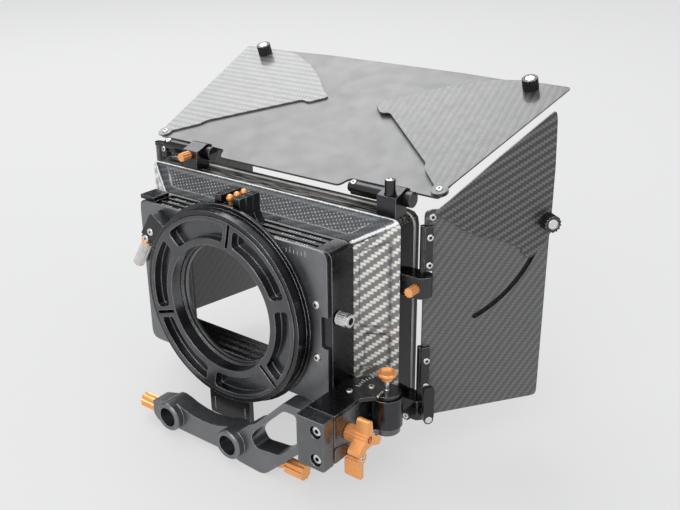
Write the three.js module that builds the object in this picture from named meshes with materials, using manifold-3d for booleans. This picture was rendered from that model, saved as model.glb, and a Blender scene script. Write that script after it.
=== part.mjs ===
import * as THREE from "three";
import { mergeVertices } from "three/addons/utils/BufferGeometryUtils.js";
import Module from "manifold-3d";

const wasm = await Module();
wasm.setup();

// Lengths are millimetres. +Z is up, +Y points away from the camera that carries the matte box, and +X is
// to the right of someone standing behind it. The origin lies midway between the two support rods, on the
// flat rear face of the web that joins them.

// Clearance between pieces that move past each other or are cut round one another.
const gap = 0.3;
// How far a cutter runs past the faces it opens.
const overrun = 4;
// Vertices closer than this are one vertex.
const weld = 0.0001;

// Facets of round forms.
const facets = { fine: 60, round: 28, small: 16, corner: 3, flute: 4, pocket: 4 };
// The most of an edge that one rounded corner may take up.
const cornerShare = 0.45;

// Two support rods of the standard light rod system.
const rods = { diameter: 15, spacing: 60, slip: 0.2 };

// Rod clamp: web, two collars, the clamping ear on the left and the arm that climbs to the right.
const bracket = {
  depth: 14,
  collarProud: 6,
  collarWall: 3.6,
  drop: 10.9,
  saddleRise: 5.4,
  saddleEndRise: 10.2,
  saddleInset: 5,
  earDip: 2,
  earReach: 21.5,
  earRise: 4.2,
  earDrop: 11.8,
  earCorner: 4.5,
  armClearance: 4,
  armRise: 49.3,
  cornerRadius: 3,
  collarChamfer: 1,
};
// Corners of the arm, as shares of its reach from the right-hand rod and of its rise.
const armShares = [
  [0, 0.1],
  [0.056, 0.172],
  [0.275, 0.424],
  [0.347, 0.467],
  [0.759, 1],
  [1, 1],
  [1, 0.36],
  [0.8375, 0.166],
  [0.677, -0.0385],
  [0.469, -0.284],
  [0.391, -0.318],
  [0.0625, -0.292],
  [-0.07, -0.2],
];
const windowShares = [
  [0.273, 0.223],
  [0.344, 0.355],
  [0.758, 0.878],
  [0.922, 0.878],
  [0.922, 0.406],
  [0.844, 0.325],
  [0.672, 0.122],
  [0.344, 0.071],
];

// Clamping screws of the rods, with fluted heads.
const rodScrew = { stemRadius: 2.5, headRadius: 5.6, headLength: 15, fluteDepth: 0.9, neck: 7, setBack: 6 };
const rodScrewFlutes = 9;

// Arm block at the top of the bracket's arm, and the slide in front of it that carries the hinge.
const block = {
  width: 22,
  underside: 14,
  topside: 50,
  rearProud: 6,
  joint: 5.4,
  seam: 0.5,
  edge: 1.6,
  boltRadius: 4.6,
  boltDepth: 5,
  boltInset: 6.5,
  upperBoltDrop: 8,
  lowerBoltRise: 7,
};
const slide = { length: 42.6, lugRise: 6, lugThickness: 4.7, lugRadius: 9.5 };

// Vertical hinge on which the whole box swings away from the lens.
const hinge = {
  outboard: 8.6,
  forward: 52,
  barrelRadius: 11,
  barrelFoot: 25,
  armRear: 1.6,
  armDepth: 11,
  armDrop: 2.4,
};
const pivotPlate = { thickness: 2.7, endRadius: 9.5, corner: 2 };
const ejectPin = { stemRadius: 2, stemFoot: 36, neckRise: 8, headRadius: 6.6, headHeight: 6.4, travel: 3 };
// Profile of the pin's mushroom head: shares of its radius and of its height above the neck.
const ejectPinShares = [
  [0.5, -0.33],
  [0.58, 0],
  [0.94, 0.17],
  [1, 0.5],
  [0.86, 0.8],
  [0.5, 1],
];

// Three-winged tension knob on the outer face of the arm.
const wingKnob = {
  forward: 20,
  height: 32,
  hubRadius: 5.9,
  hubLength: 17.4,
  wingReach: 13.9,
  wingRootHalf: 4,
  wingTipHalf: 2.4,
  wingThickness: 9,
  recessRadius: 2.6,
  recessDepth: 3,
  stemRadius: 3,
  stemLength: 6,
  fluteDepth: 0.7,
};
const wingKnobFlutes = 14;
const wingKnobWings = 3;

// Flip latch below the tension knob.
const latch = {
  forward: 22.6,
  height: 12.4,
  hubRadius: 5,
  hubLength: 9.4,
  paddleInset: 4.4,
  paddleDrop: 16,
  paddleStart: 3.2,
  paddleThickness: 2.6,
  stemRadius: 2.2,
  stemLength: 5,
  fluteDepth: 0.6,
};
const latchFlutes = 12;

// Filter stage behind the hood.
const axisHeight = 85;
const plate = {
  offset: 36.5,
  thickness: 2.2,
  halfWidth: 87.6,
  top: 60,
  bottom: -54,
  corner: 7,
  bore: 45,
  notchInset: 5.6,
  notchLow: -10,
  notchHigh: 13.5,
  notchCorner: 2,
};
const stage = {
  halfWidth: 90,
  depth: 23.3,
  top: 59.7,
  bottom: -54,
  corner: 6,
  sideWall: 14,
  ledge: 10,
  apertureTop: 43,
  apertureBottom: -43,
  apertureCorner: 4,
};
const tray = {
  pitch: 7,
  first: 3.3,
  thickness: 5,
  bottom: -47.7,
  top: 58.6,
  corner: 3,
  tabHalf: 11.5,
  tabRoot: 15.5,
  tabTop: 79.6,
  tabShoulder: 66,
  tabSlotHalf: 5.6,
  tabSlotFloor: 73,
};
const trayCount = 3;
const ballButton = { radius: 2.75, rise: 1.7, stemRadius: 1.3, stemDepth: 4.4, travel: 1.5 };
const stopTab = { overhang: 1, depth: 15, setForward: 1.8, height: 3 };
const pushButton = { radius: 2.3, proud: 1.7, depth: 3.4, forward: 3.4, travel: 1.2 };
const pushButtonHeights = { upper: 50.5, lower: 37 };
const sideKnob = {
  radius: 5,
  length: 10.4,
  forward: 8,
  height: 12,
  stemRadius: 2,
  stemLength: 6,
  fluteDepth: 0.5,
  standOff: 0.3,
};
const sideKnobFlutes = 24;

// Lens clamp ring on the rear plate, with its split lug and the tongue below it.
const clampRing = {
  depth: 11.2,
  radius: 72,
  bore: 69,
  flangeRadius: 75,
  flangeDepth: 2.6,
  tongueHalf: 20,
  tongueFoot: -93,
  tongueBack: 4.2,
  tongueThickness: 4,
  tongueCorner: 2,
  lugOuter: 87,
  lugLength: 24,
  lugSetBack: 2,
  lugCorner: 3,
  splitWidth: 1.6,
};
const clampLugAngle = THREE.MathUtils.degToRad(147);
const clampSplitAngle = THREE.MathUtils.degToRad(154);
const ringScrew = {
  axisRadius: 81,
  stemRadius: 2.2,
  stemLength: 20,
  headRadius: 4.3,
  headLength: 24,
  discRadius: 4.9,
  discLength: 3,
  fluteDepth: 0.5,
  setBack: 6,
  standOff: 0.4,
};
const ringScrewFlutes = 16;

// Reduction ring seated in the clamp ring: six blind pockets, and three ribs that are slit.
const reduction = {
  proud: 0.7,
  bore: 47.5,
  pocketInner: 52.5,
  pocketOuter: 65.5,
  pocketDepth: 6.5,
  pocketCorner: 3.4,
  ribHalf: 4.2,
  slitWidth: 2.4,
  slitDepth: 7.5,
  slitInner: 49.5,
  slitOuter: 68,
  lipRadius: 46,
  lipDepth: 2,
};
const pocketCount = 6;
const ribPhase = THREE.MathUtils.degToRad(78);

// Hood: flared carbon shell, square rim and front lip. Heights are measured from the optical axis.
const hood = {
  rearHalfWidth: 88.7,
  rearHalfHeight: 60,
  frontHalfWidth: 116.4,
  frontHalfHeight: 75.5,
  flareDepth: 16,
  rimDepth: 17,
  lipDepth: 4,
  lipProud: 0.7,
  wall: 2.6,
  rimWall: 3.4,
  rearWall: 2.4,
  corner: 9,
  notchHeight: -33,
  notchInset: 2,
};

// Clamps on the rim that hold the flags' hinge barrels.
const barrel = {
  radius: 3.9,
  headRadius: 5.4,
  headLength: 5.2,
  reach: 37.5,
  lugStart: 12,
  lugReach: 8.4,
  lugThickness: 2.4,
};
const clamp = { half: 7.5, wall: 3.3, corner: 1.5, depth: 13 };
// Corners of a clamp's rounded back, as shares of its outer radius.
const topClampShares = [
  [0.7, 0.7],
  [0, 1],
  [-0.7, 0.7],
];
const clampHeelShare = 0.4;
const sideClampShares = [
  [0.95, -0.33],
  [0.95, 0.33],
  [0.5, 0.9],
];
const clampScrew = {
  headRadius: 3.4,
  headLength: 8.6,
  stemRadius: 1.8,
  fluteDepth: 0.6,
  inset: 2.6,
  sideInset: 1.3,
};
const clampScrewFlutes = 10;
const uprightScrew = { radius: 3.6, length: 12.4, forward: 4.6, foot: 1.4 };

// Top flag, drawn in its own plane from the line of its rear corners.
const topFlag = {
  hingeBack: 9.3,
  hingeRise: 1.3,
  axisAboveRim: 10.9,
  axisBehindLip: 8.5,
  halfWidth: 131,
  length: 147.6,
  bulge: 3,
  thickness: 1.6,
  rearHalf: 60,
  rearReach: 9.4,
  rearCorner: 4,
  corner: 3,
  leftClamp: -75.5,
  rightClamp: 104.5,
};
const topTilt = THREE.MathUtils.degToRad(18.87);
const topWing = {
  pivotInset: 2,
  pivotForward: 5,
  frontInset: 3.6,
  thickness: 1.2,
  pivotRadius: 6,
  pinRadius: 2,
  corner: 3,
  levelStep: 1.6,
};
// Corners of a top wing from its pivot, as shares of its reach: first share inwards, second forwards.
const topWingShares = [
  [-0.02, -0.035],
  [0.159, 0.126],
  [0.171, 0.164],
  [0.602, 0.512],
  [0.65, 0.495],
  [0.738, 0.576],
  [0.678, 0.617],
  [0.549, 0.745],
  [0.39, 0.868],
  [0.224, 0.955],
  [0.08, 0.985],
  [-0.192, 0.978],
];
const flagKnob = {
  radius: 6,
  length: 8.5,
  stemRadius: 1.6,
  fluteDepth: 0.7,
  discRadius: 3.8,
  discDepth: 0.8,
};
const flagKnobFlutes = 14;
const topKnob = { inset: 2, frontInset: 10.6 };

// Side flags, drawn in their own plane: first length from the hinge line, second height.
const sideFlag = {
  length: 92.2,
  height: 153.2,
  bottom: -70.2,
  thickness: 1.6,
  corner: 4,
  start: 1,
};
const sideBarrelSize = { radius: 1.9, headRadius: 3.4, headLength: 1.2, lugReach: 6.2, lugThickness: 2.4 };
const sideClampWall = 5;
const rightHinge = {
  outboard: 12.5,
  forward: 7.1,
  upperClamp: 31,
  lowerClamp: -62,
  upperReach: 42,
  lowerReach: 47,
};
const rightAngle = THREE.MathUtils.degToRad(-35.2);
const leftHinge = { outboard: 8, forward: 14, barrelRadius: 2.6 };
const leftAngle = THREE.MathUtils.degToRad(-9.6);
const arcSlot = { pivotIn: 5.4, pivotDown: 4.1, radius: 84, width: 4 };
const arcSlotStart = THREE.MathUtils.degToRad(-8.5);
const arcSlotEnd = THREE.MathUtils.degToRad(-66);
const sideWing = { tipMargin: 12, thickness: 1.2, pivotRadius: 5, pinRadius: 1.8, corner: 3 };
// Corners of the side wing from its pivot, as shares of its reach: first share forwards, second upwards.
const sideWingShares = [
  [0, 0.03],
  [0.06, 0.056],
  [0.482, 0.375],
  [0.869, 0.653],
  [0.885, 0.6],
  [0.893, 0.426],
  [0.9, 0.245],
  [0.9, -0.09],
  [0.9, -0.25],
  [0.768, -0.404],
  [0.702, -0.378],
  [0.675, -0.308],
  [0.527, -0.235],
  [0.368, -0.192],
  [0.208, -0.112],
  [0.173, -0.068],
  [0.078, -0.02],
];
const lowerLever = { start: 7.6, length: 25, width: 7.4, thickness: 4, hubRadius: 3.4, hubLength: 11.6 };
const leverAngle = THREE.MathUtils.degToRad(-36);

// Corner brackets that hold the left flag's barrel top and bottom.
const cornerBracket = {
  overhang: 1.2,
  blockDepth: 5.6,
  earDepth: 6,
  earThickness: 2.6,
  pinRadius: 1.4,
  legThickness: 4.6,
  legHeight: 22,
};

const finishes = {
  blackAnodised: { color: 0x1b1c1e, roughness: 0.45, metalness: 0.6 },
  greyAnodised: { color: 0x55585b, roughness: 0.5, metalness: 0.6 },
  darkAnodised: { color: 0x2b2c2f, roughness: 0.42, metalness: 0.6 },
  orangeAnodised: { color: 0xe8863a, roughness: 0.35, metalness: 0.7 },
  bareSteel: { color: 0xc9c9c6, roughness: 0.3, metalness: 1 },
  carbonShell: { color: 0x6a6d70, roughness: 0.35, metalness: 0.2 },
  carbonSheet: { color: 0x47484b, roughness: 0.45, metalness: 0.1 },
  satinSheet: { color: 0x8f9091, roughness: 0.55, metalness: 0.1 },
  blackPlastic: { color: 0x161617, roughness: 0.55, metalness: 0 },
};

// Solids and cutters

function solidOf(geometry) {
  const bare = geometry.index ? geometry.toNonIndexed() : geometry.clone();
  bare.deleteAttribute("normal");
  bare.deleteAttribute("uv");
  const merged = mergeVertices(bare, weld);
  return new wasm.Manifold(
    new wasm.Mesh({
      numProp: 3,
      vertProperties: merged.attributes.position.array,
      triVerts: new Uint32Array(merged.index.array),
    }),
  );
}

function box(x0, x1, y0, y1, z0, z1) {
  const geometry = new THREE.BoxGeometry(x1 - x0, y1 - y0, z1 - z0);
  return solidOf(geometry.translate((x0 + x1) / 2, (y0 + y1) / 2, (z0 + z1) / 2));
}

// Tapered or straight rods along each axis, from one station to another.
function rodX(radius, x0, x1, y, z, segments = facets.small, endRadius = radius) {
  const geometry = new THREE.CylinderGeometry(radius, endRadius, x1 - x0, segments);
  return solidOf(geometry.rotateZ(Math.PI / 2).translate((x0 + x1) / 2, y, z));
}

function rodY(radius, x, y0, y1, z, segments = facets.small, endRadius = radius) {
  const geometry = new THREE.CylinderGeometry(endRadius, radius, y1 - y0, segments);
  return solidOf(geometry.translate(x, (y0 + y1) / 2, z));
}

function rodZ(radius, x, y, z0, z1, segments = facets.small, endRadius = radius) {
  const geometry = new THREE.CylinderGeometry(endRadius, radius, z1 - z0, segments);
  return solidOf(geometry.rotateX(Math.PI / 2).translate(x, y, (z0 + z1) / 2));
}

// A closed outline with its corners rounded, as a shape.
function outline(points, radius = 0) {
  const shape = new THREE.Shape();
  const corners = points.map(([a, b]) => new THREE.Vector2(a, b));
  corners.forEach((corner, i) => {
    const before = corners[(i + corners.length - 1) % corners.length];
    const after = corners[(i + 1) % corners.length];
    const toBefore = before.clone().sub(corner);
    const toAfter = after.clone().sub(corner);
    const reach = Math.min(radius, toBefore.length() * cornerShare, toAfter.length() * cornerShare);
    const start = corner.clone().add(toBefore.setLength(reach));
    const end = corner.clone().add(toAfter.setLength(reach));
    if (i === 0) {
      shape.moveTo(start.x, start.y);
    } else {
      shape.lineTo(start.x, start.y);
    }
    if (reach > 0) {
      shape.quadraticCurveTo(corner.x, corner.y, end.x, end.y);
    }
  });
  shape.closePath();
  return shape;
}

function rectangle(a0, a1, b0, b1) {
  return [
    [a0, b0],
    [a1, b0],
    [a1, b1],
    [a0, b1],
  ];
}

function mirrored(points) {
  return points.map(([a, b]) => [-a, b]).reverse();
}

const acrossX = new THREE.Matrix4().makeBasis(
  new THREE.Vector3(0, 1, 0),
  new THREE.Vector3(0, 0, 1),
  new THREE.Vector3(1, 0, 0),
);
const acrossY = new THREE.Matrix4().makeBasis(
  new THREE.Vector3(1, 0, 0),
  new THREE.Vector3(0, 0, 1),
  new THREE.Vector3(0, -1, 0),
);

function extruded(shape, depth, segments) {
  return new THREE.ExtrudeGeometry(shape, { depth, bevelEnabled: false, curveSegments: segments });
}

// Slabs of an outline: drawn in Y and Z and pushed along X, in X and Z along Y, or in X and Y along Z.
function slabX(shape, x0, x1, segments = facets.corner) {
  return solidOf(extruded(shape, x1 - x0, segments).applyMatrix4(acrossX).translate(x0, 0, 0));
}

function slabY(shape, y0, y1, segments = facets.corner) {
  return solidOf(extruded(shape, y1 - y0, segments).applyMatrix4(acrossY).translate(0, y1, 0));
}

function slabZ(shape, z0, z1, segments = facets.corner) {
  return solidOf(extruded(shape, z1 - z0, segments).translate(0, 0, z0));
}

// Outline of a fluted grip: flat-topped ridges and shallow grooves.
function flutedShape(radius, depth, count) {
  const points = [];
  for (let i = 0; i < count; i += 1) {
    for (let k = 0; k < facets.flute; k += 1) {
      const angle = (2 * Math.PI * (i + k / facets.flute)) / count;
      const r = k < facets.flute / 2 ? radius : radius - depth;
      points.push([r * Math.cos(angle), r * Math.sin(angle)]);
    }
  }
  return outline(points);
}

function ring(outer, inner, y0, y1, segments = facets.fine) {
  const hole = rodY(inner, 0, y0 - overrun, y1 + overrun, 0, segments);
  return rodY(outer, 0, y0, y1, 0, segments).subtract(hole);
}

// A mesh of one solid.
function piece(name, solid, finish) {
  const data = solid.getMesh();
  const geometry = new THREE.BufferGeometry();
  geometry.setAttribute("position", new THREE.BufferAttribute(data.vertProperties, data.numProp));
  geometry.setIndex(new THREE.BufferAttribute(data.triVerts, 1));
  const flat = geometry.toNonIndexed();
  flat.computeVertexNormals();
  const mesh = new THREE.Mesh(flat, new THREE.MeshStandardMaterial(finish));
  mesh.name = name;
  return mesh;
}

function placed(mesh, x, y, z) {
  mesh.position.set(x, y, z);
  return mesh;
}

function groupAt(x, y, z) {
  const group = new THREE.Group();
  group.position.set(x, y, z);
  return group;
}

// Stations that several pieces share.
const rodX0 = rods.spacing / 2;
const armEnd = stage.halfWidth + bracket.armClearance;
const armReach = armEnd - rodX0;
const trayHalfWidth = stage.halfWidth - stage.sideWall;
const apertureHalfWidth = trayHalfWidth - stage.ledge;
const blockFace = armEnd + block.width;
const hingeX = blockFace + hinge.outboard;
const rodScrewDrop = bracket.drop / 3;
const stageFront = plate.thickness + stage.depth;
const rimRear = stageFront + hood.flareDepth;
const lipRear = rimRear + hood.rimDepth;
const lipFront = lipRear + hood.lipDepth;
const topAxis = { y: lipFront - topFlag.axisBehindLip, z: hood.frontHalfHeight + topFlag.axisAboveRim };

// Rod clamp and arm

function armPoints(shares) {
  return shares.map(([a, b]) => [rodX0 + a * armReach, b * bracket.armRise]);
}

function bridgeShape() {
  const end = rodX0 - bracket.saddleInset;
  const shape = new THREE.Shape();
  shape.moveTo(-rodX0, -bracket.drop);
  shape.lineTo(rodX0, -bracket.drop);
  shape.lineTo(rodX0, bracket.saddleEndRise);
  shape.lineTo(end, bracket.saddleEndRise);
  shape.quadraticCurveTo(0, 2 * bracket.saddleRise - bracket.saddleEndRise, -end, bracket.saddleEndRise);
  shape.lineTo(-rodX0, bracket.saddleEndRise);
  shape.closePath();
  return shape;
}

function earShape() {
  const tip = -rodX0 - bracket.earReach;
  return outline(
    [
      [tip, bracket.earRise],
      [tip, bracket.earCorner - bracket.earDrop],
      [tip + bracket.earCorner, -bracket.earDrop],
      [-rodX0, -bracket.drop],
      [-rodX0, bracket.saddleEndRise],
      [-rodX0 - rods.diameter / 2, bracket.saddleEndRise - bracket.earDip],
    ],
    bracket.cornerRadius / 2,
  );
}

function rodBracket() {
  const collarRadius = rods.diameter / 2 + bracket.collarWall;
  let body = slabY(bridgeShape(), 0, bracket.depth, 2 * facets.corner);
  body = body.add(slabY(earShape(), 0, bracket.depth));
  body = body.add(slabY(outline(armPoints(armShares), bracket.cornerRadius), 0, bracket.depth));
  body = body.subtract(
    slabY(outline(armPoints(windowShares), bracket.cornerRadius), -overrun, bracket.depth + overrun),
  );
  for (const side of [-1, 1]) {
    const x = side * rodX0;
    const tapered = bracket.collarProud - bracket.collarChamfer;
    body = body.add(rodY(collarRadius, x, -tapered, bracket.depth, 0, facets.round));
    body = body.add(
      rodY(
        collarRadius - bracket.collarChamfer,
        x,
        -bracket.collarProud,
        -tapered,
        0,
        facets.round,
        collarRadius,
      ),
    );
  }
  for (const side of [-1, 1]) {
    const bore = (rods.diameter + rods.slip) / 2;
    const far = bracket.depth + overrun;
    body = body.subtract(rodY(bore, side * rodX0, -bracket.collarProud - overrun, far, 0, facets.round));
  }
  const stemHole = rodScrew.stemRadius + gap;
  const leftEnd = -rodX0 - bracket.earReach;
  body = body.subtract(
    rodX(stemHole, leftEnd - overrun, leftEnd + bracket.earReach / 2, rodScrew.setBack, -rodScrewDrop),
  );
  const neckStart = rodX0 + armReach / 2 + rodScrew.neck;
  body = body.subtract(
    rodX(stemHole, neckStart - armReach / 5, neckStart + overrun, rodScrew.setBack, -rodScrewDrop),
  );
  body = body.subtract(
    rodX(
      rodScrew.headRadius + gap,
      neckStart - gap,
      neckStart + armReach / 2,
      rodScrew.setBack,
      -rodScrewDrop,
    ),
  );
  return piece("rod_bracket", body, finishes.greyAnodised);
}

// Fluted head on the left or right, with the stem that enters the bracket.
function rodScrewMesh(name, side) {
  const grip = slabX(
    flutedShape(rodScrew.headRadius, rodScrew.fluteDepth, rodScrewFlutes),
    0,
    rodScrew.headLength,
  );
  const inner = side < 0 ? bracket.earReach / 2 - 2 * gap : armReach / 5 - 2 * gap;
  let body = grip;
  if (side > 0) {
    body = body.translate(rodScrew.neck, 0, 0);
    body = body.add(
      rodX(
        rodScrew.headRadius - rodScrew.fluteDepth,
        0,
        rodScrew.neck,
        0,
        0,
        facets.small,
        rodScrew.stemRadius,
      ),
    );
    body = body.add(rodX(rodScrew.stemRadius, -inner, rodScrew.neck, 0, 0));
    return placed(
      piece(name, body, finishes.orangeAnodised),
      rodX0 + armReach / 2 + rodScrew.neck,
      rodScrew.setBack,
      -rodScrewDrop,
    );
  }
  body = body.translate(-rodScrew.headLength, 0, 0);
  body = body.add(rodX(rodScrew.stemRadius, -rodScrew.headLength, inner, 0, 0));
  return placed(
    piece(name, body, finishes.orangeAnodised),
    -rodX0 - bracket.earReach - gap,
    rodScrew.setBack,
    -rodScrewDrop,
  );
}

function armBlock() {
  const rear = -block.rearProud;
  let body = slabZ(
    outline(rectangle(armEnd, blockFace, rear, block.joint), block.edge),
    block.underside,
    block.topside,
  );
  const boltX = blockFace - block.boltInset;
  for (const z of [block.topside - block.upperBoltDrop, block.underside + block.lowerBoltRise]) {
    body = body.subtract(rodY(block.boltRadius, boltX, rear - overrun, rear + block.boltDepth, z));
  }
  return piece("arm_block", body, finishes.greyAnodised);
}

function armSlide() {
  const rear = block.joint + block.seam;
  const front = rear + slide.length;
  const top = block.topside - pivotPlate.thickness - gap;
  let body = slabZ(outline(rectangle(armEnd, blockFace, rear, front), block.edge), block.underside, top);
  const lug = outline([
    [armEnd + block.width / 2, front - slide.lugRadius],
    [blockFace, front - 2 * slide.lugRadius],
    [hingeX, hinge.forward - slide.lugRadius],
    [hingeX, hinge.forward + slide.lugRadius],
    [armEnd + block.width / 2, front],
  ]);
  const lugFoot = block.underside + slide.lugRise;
  const lugTop = lugFoot + slide.lugThickness;
  body = body.add(slabZ(lug, lugFoot, lugTop));
  body = body.add(rodZ(slide.lugRadius, hingeX, hinge.forward, lugFoot, lugTop, facets.round));
  const swept = hinge.barrelRadius + gap;
  body = body.subtract(
    rodZ(swept, hingeX, hinge.forward, lugTop, block.topside + overrun, facets.fine),
  );
  body = body.subtract(
    rodX(
      wingKnob.stemRadius + gap,
      blockFace - wingKnob.stemLength - gap,
      blockFace + overrun,
      wingKnob.forward,
      wingKnob.height,
    ),
  );
  body = body.subtract(
    rodX(
      latch.stemRadius + gap,
      blockFace - latch.stemLength - gap,
      blockFace + overrun,
      latch.forward,
      latchStemHeight(),
    ),
  );
  return piece("arm_slide", body, finishes.greyAnodised);
}

function latchStemHeight() {
  return block.underside + latch.stemRadius + 2 * gap;
}

function pivotPlateMesh() {
  const rear = block.joint + block.seam;
  const z0 = block.topside - pivotPlate.thickness;
  const neck = outline(
    [
      [armEnd, rear],
      [blockFace, rear],
      [blockFace, hinge.forward - pivotPlate.endRadius * 2],
      [hingeX, hinge.forward - pivotPlate.endRadius],
      [hingeX, hinge.forward + pivotPlate.endRadius],
      [armEnd + pivotPlate.endRadius, hinge.forward + pivotPlate.endRadius],
      [armEnd, hinge.forward - pivotPlate.endRadius / 2],
    ],
    pivotPlate.corner,
  );
  let body = slabZ(neck, z0, block.topside);
  body = body.add(
    rodZ(pivotPlate.endRadius, hingeX, hinge.forward, z0, block.topside, facets.round),
  );
  body = body.subtract(
    rodZ(ejectPin.stemRadius + gap, hingeX, hinge.forward, z0 - overrun, block.topside + overrun),
  );
  return piece("pivot_plate", body, finishes.blackAnodised);
}

function ejectPinMesh() {
  const neck = block.topside + ejectPin.neckRise;
  const head = ejectPinShares.map(([a, b]) => [a * ejectPin.headRadius, neck + b * ejectPin.headHeight]);
  const profile = [
    [0, ejectPin.stemFoot],
    [ejectPin.stemRadius, ejectPin.stemFoot],
    [ejectPin.stemRadius, head[0][1]],
    ...head,
    [0, neck + ejectPin.headHeight],
  ].map(([x, y]) => new THREE.Vector2(x, y));
  const body = solidOf(new THREE.LatheGeometry(profile, facets.small).rotateX(Math.PI / 2));
  return placed(piece("eject_pin", body, finishes.orangeAnodised), hingeX, hinge.forward, 0);
}

// Tension knob: a fluted hub with three tapering wings.
function tensionKnob() {
  const hub = flutedShape(wingKnob.hubRadius, wingKnob.fluteDepth, wingKnobFlutes);
  let body = slabX(hub, 0, wingKnob.hubLength);
  const wing = outline(
    [
      [-wingKnob.wingRootHalf, 0],
      [wingKnob.wingRootHalf, 0],
      [wingKnob.wingTipHalf, wingKnob.wingReach],
      [-wingKnob.wingTipHalf, wingKnob.wingReach],
    ],
    wingKnob.wingTipHalf,
  );
  for (let i = 0; i < wingKnobWings; i += 1) {
    const geometry = extruded(wing, wingKnob.wingThickness, facets.corner)
      .rotateZ((2 * Math.PI * i) / wingKnobWings)
      .applyMatrix4(acrossX)
      .translate(wingKnob.hubLength - wingKnob.wingThickness, 0, 0);
    body = body.add(solidOf(geometry));
  }
  body = body.subtract(
    rodX(
      wingKnob.recessRadius,
      wingKnob.hubLength - wingKnob.recessDepth,
      wingKnob.hubLength + overrun,
      0,
      0,
    ),
  );
  body = body.add(rodX(wingKnob.stemRadius, -wingKnob.stemLength, gap, 0, 0));
  return placed(
    piece("tension_knob", body, finishes.orangeAnodised),
    blockFace + gap,
    wingKnob.forward,
    wingKnob.height,
  );
}

function flipLatch() {
  const low = latchStemHeight() - latch.height;
  let body = slabX(flutedShape(latch.hubRadius, latch.fluteDepth, latchFlutes), 0, latch.hubLength);
  const paddle = outline(
    rectangle(-latch.paddleInset, latch.hubLength, -latch.paddleDrop, -latch.paddleStart),
    latch.paddleThickness / 2,
  );
  body = body.add(slabY(paddle, -latch.paddleThickness / 2, latch.paddleThickness / 2));
  body = body.add(rodX(latch.stemRadius, -latch.stemLength, gap, 0, low));
  const mesh = piece("flip_latch", body, finishes.orangeAnodised);
  return placed(mesh, blockFace + gap, latch.forward, latch.height);
}

// Swing arm: the barrel between the fixed lug and the pivot plate, and the arm that carries the stage.
function swingYoke() {
  const foot = hinge.barrelFoot;
  const head = block.topside - pivotPlate.thickness - gap;
  const armY = hinge.forward - hinge.armRear;
  const stageX = stage.halfWidth + gap;
  let body = rodZ(hinge.barrelRadius, hingeX, hinge.forward, foot, head, facets.round);
  body = body.add(
    box(stageX, hingeX, armY, armY + hinge.armDepth, foot + hinge.armDrop, head - hinge.armDrop),
  );
  const pinFloor = ejectPin.stemFoot - ejectPin.travel - gap;
  body = body.subtract(
    rodZ(ejectPin.stemRadius + gap, hingeX, hinge.forward, pinFloor, head + overrun),
  );
  return piece("swing_yoke", body, finishes.darkAnodised);
}

// Filter stage

function rearPlate() {
  const right = plate.halfWidth;
  const shape = outline(rectangle(-right, right, plate.bottom, plate.top), plate.corner);
  let body = slabY(shape, 0, plate.thickness);
  body = body.subtract(rodY(plate.bore, 0, -overrun, plate.thickness + overrun, 0, facets.fine));
  const notch = outline(
    rectangle(right - plate.notchInset, right + overrun, plate.notchLow, plate.notchHigh),
    plate.notchCorner,
  );
  body = body.subtract(slabY(notch, -overrun, plate.thickness + overrun));
  return piece("rear_plate", body, finishes.greyAnodised);
}

function trayY(index) {
  return plate.thickness + tray.first + index * tray.pitch;
}

function stageBody() {
  const front = stageFront;
  const rear = plate.thickness;
  const shape = outline(
    rectangle(-stage.halfWidth, stage.halfWidth, stage.bottom, stage.top),
    stage.corner,
  );
  let body = slabY(shape, rear, front);
  const aperture = outline(
    rectangle(-apertureHalfWidth, apertureHalfWidth, stage.apertureBottom, stage.apertureTop),
    stage.apertureCorner,
  );
  body = body.subtract(slabY(aperture, rear - overrun, front + overrun));
  const half = tray.thickness / 2 + gap;
  for (let i = 0; i < trayCount; i += 1) {
    const slotSide = trayHalfWidth + gap;
    body = body.subtract(
      box(-slotSide, slotSide, trayY(i) - half, trayY(i) + half, tray.bottom - gap, stage.top + overrun),
    );
  }
  body = body.subtract(
    rodX(
      sideKnob.stemRadius + gap,
      stage.halfWidth - sideKnob.stemLength,
      stage.halfWidth + overrun,
      sideKnobY(),
      sideKnob.height,
    ),
  );
  for (const z of Object.values(pushButtonHeights)) {
    body = body.subtract(
      rodX(
        pushButton.radius + gap,
        -stage.halfWidth - overrun,
        -stage.halfWidth + pushButton.depth + pushButton.travel + gap,
        pushButtonY(),
        z,
      ),
    );
  }
  return piece("filter_stage", body, finishes.blackAnodised);
}

function sideKnobY() {
  return sideKnob.forward;
}

function pushButtonY() {
  return plate.thickness + pushButton.forward;
}

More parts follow.
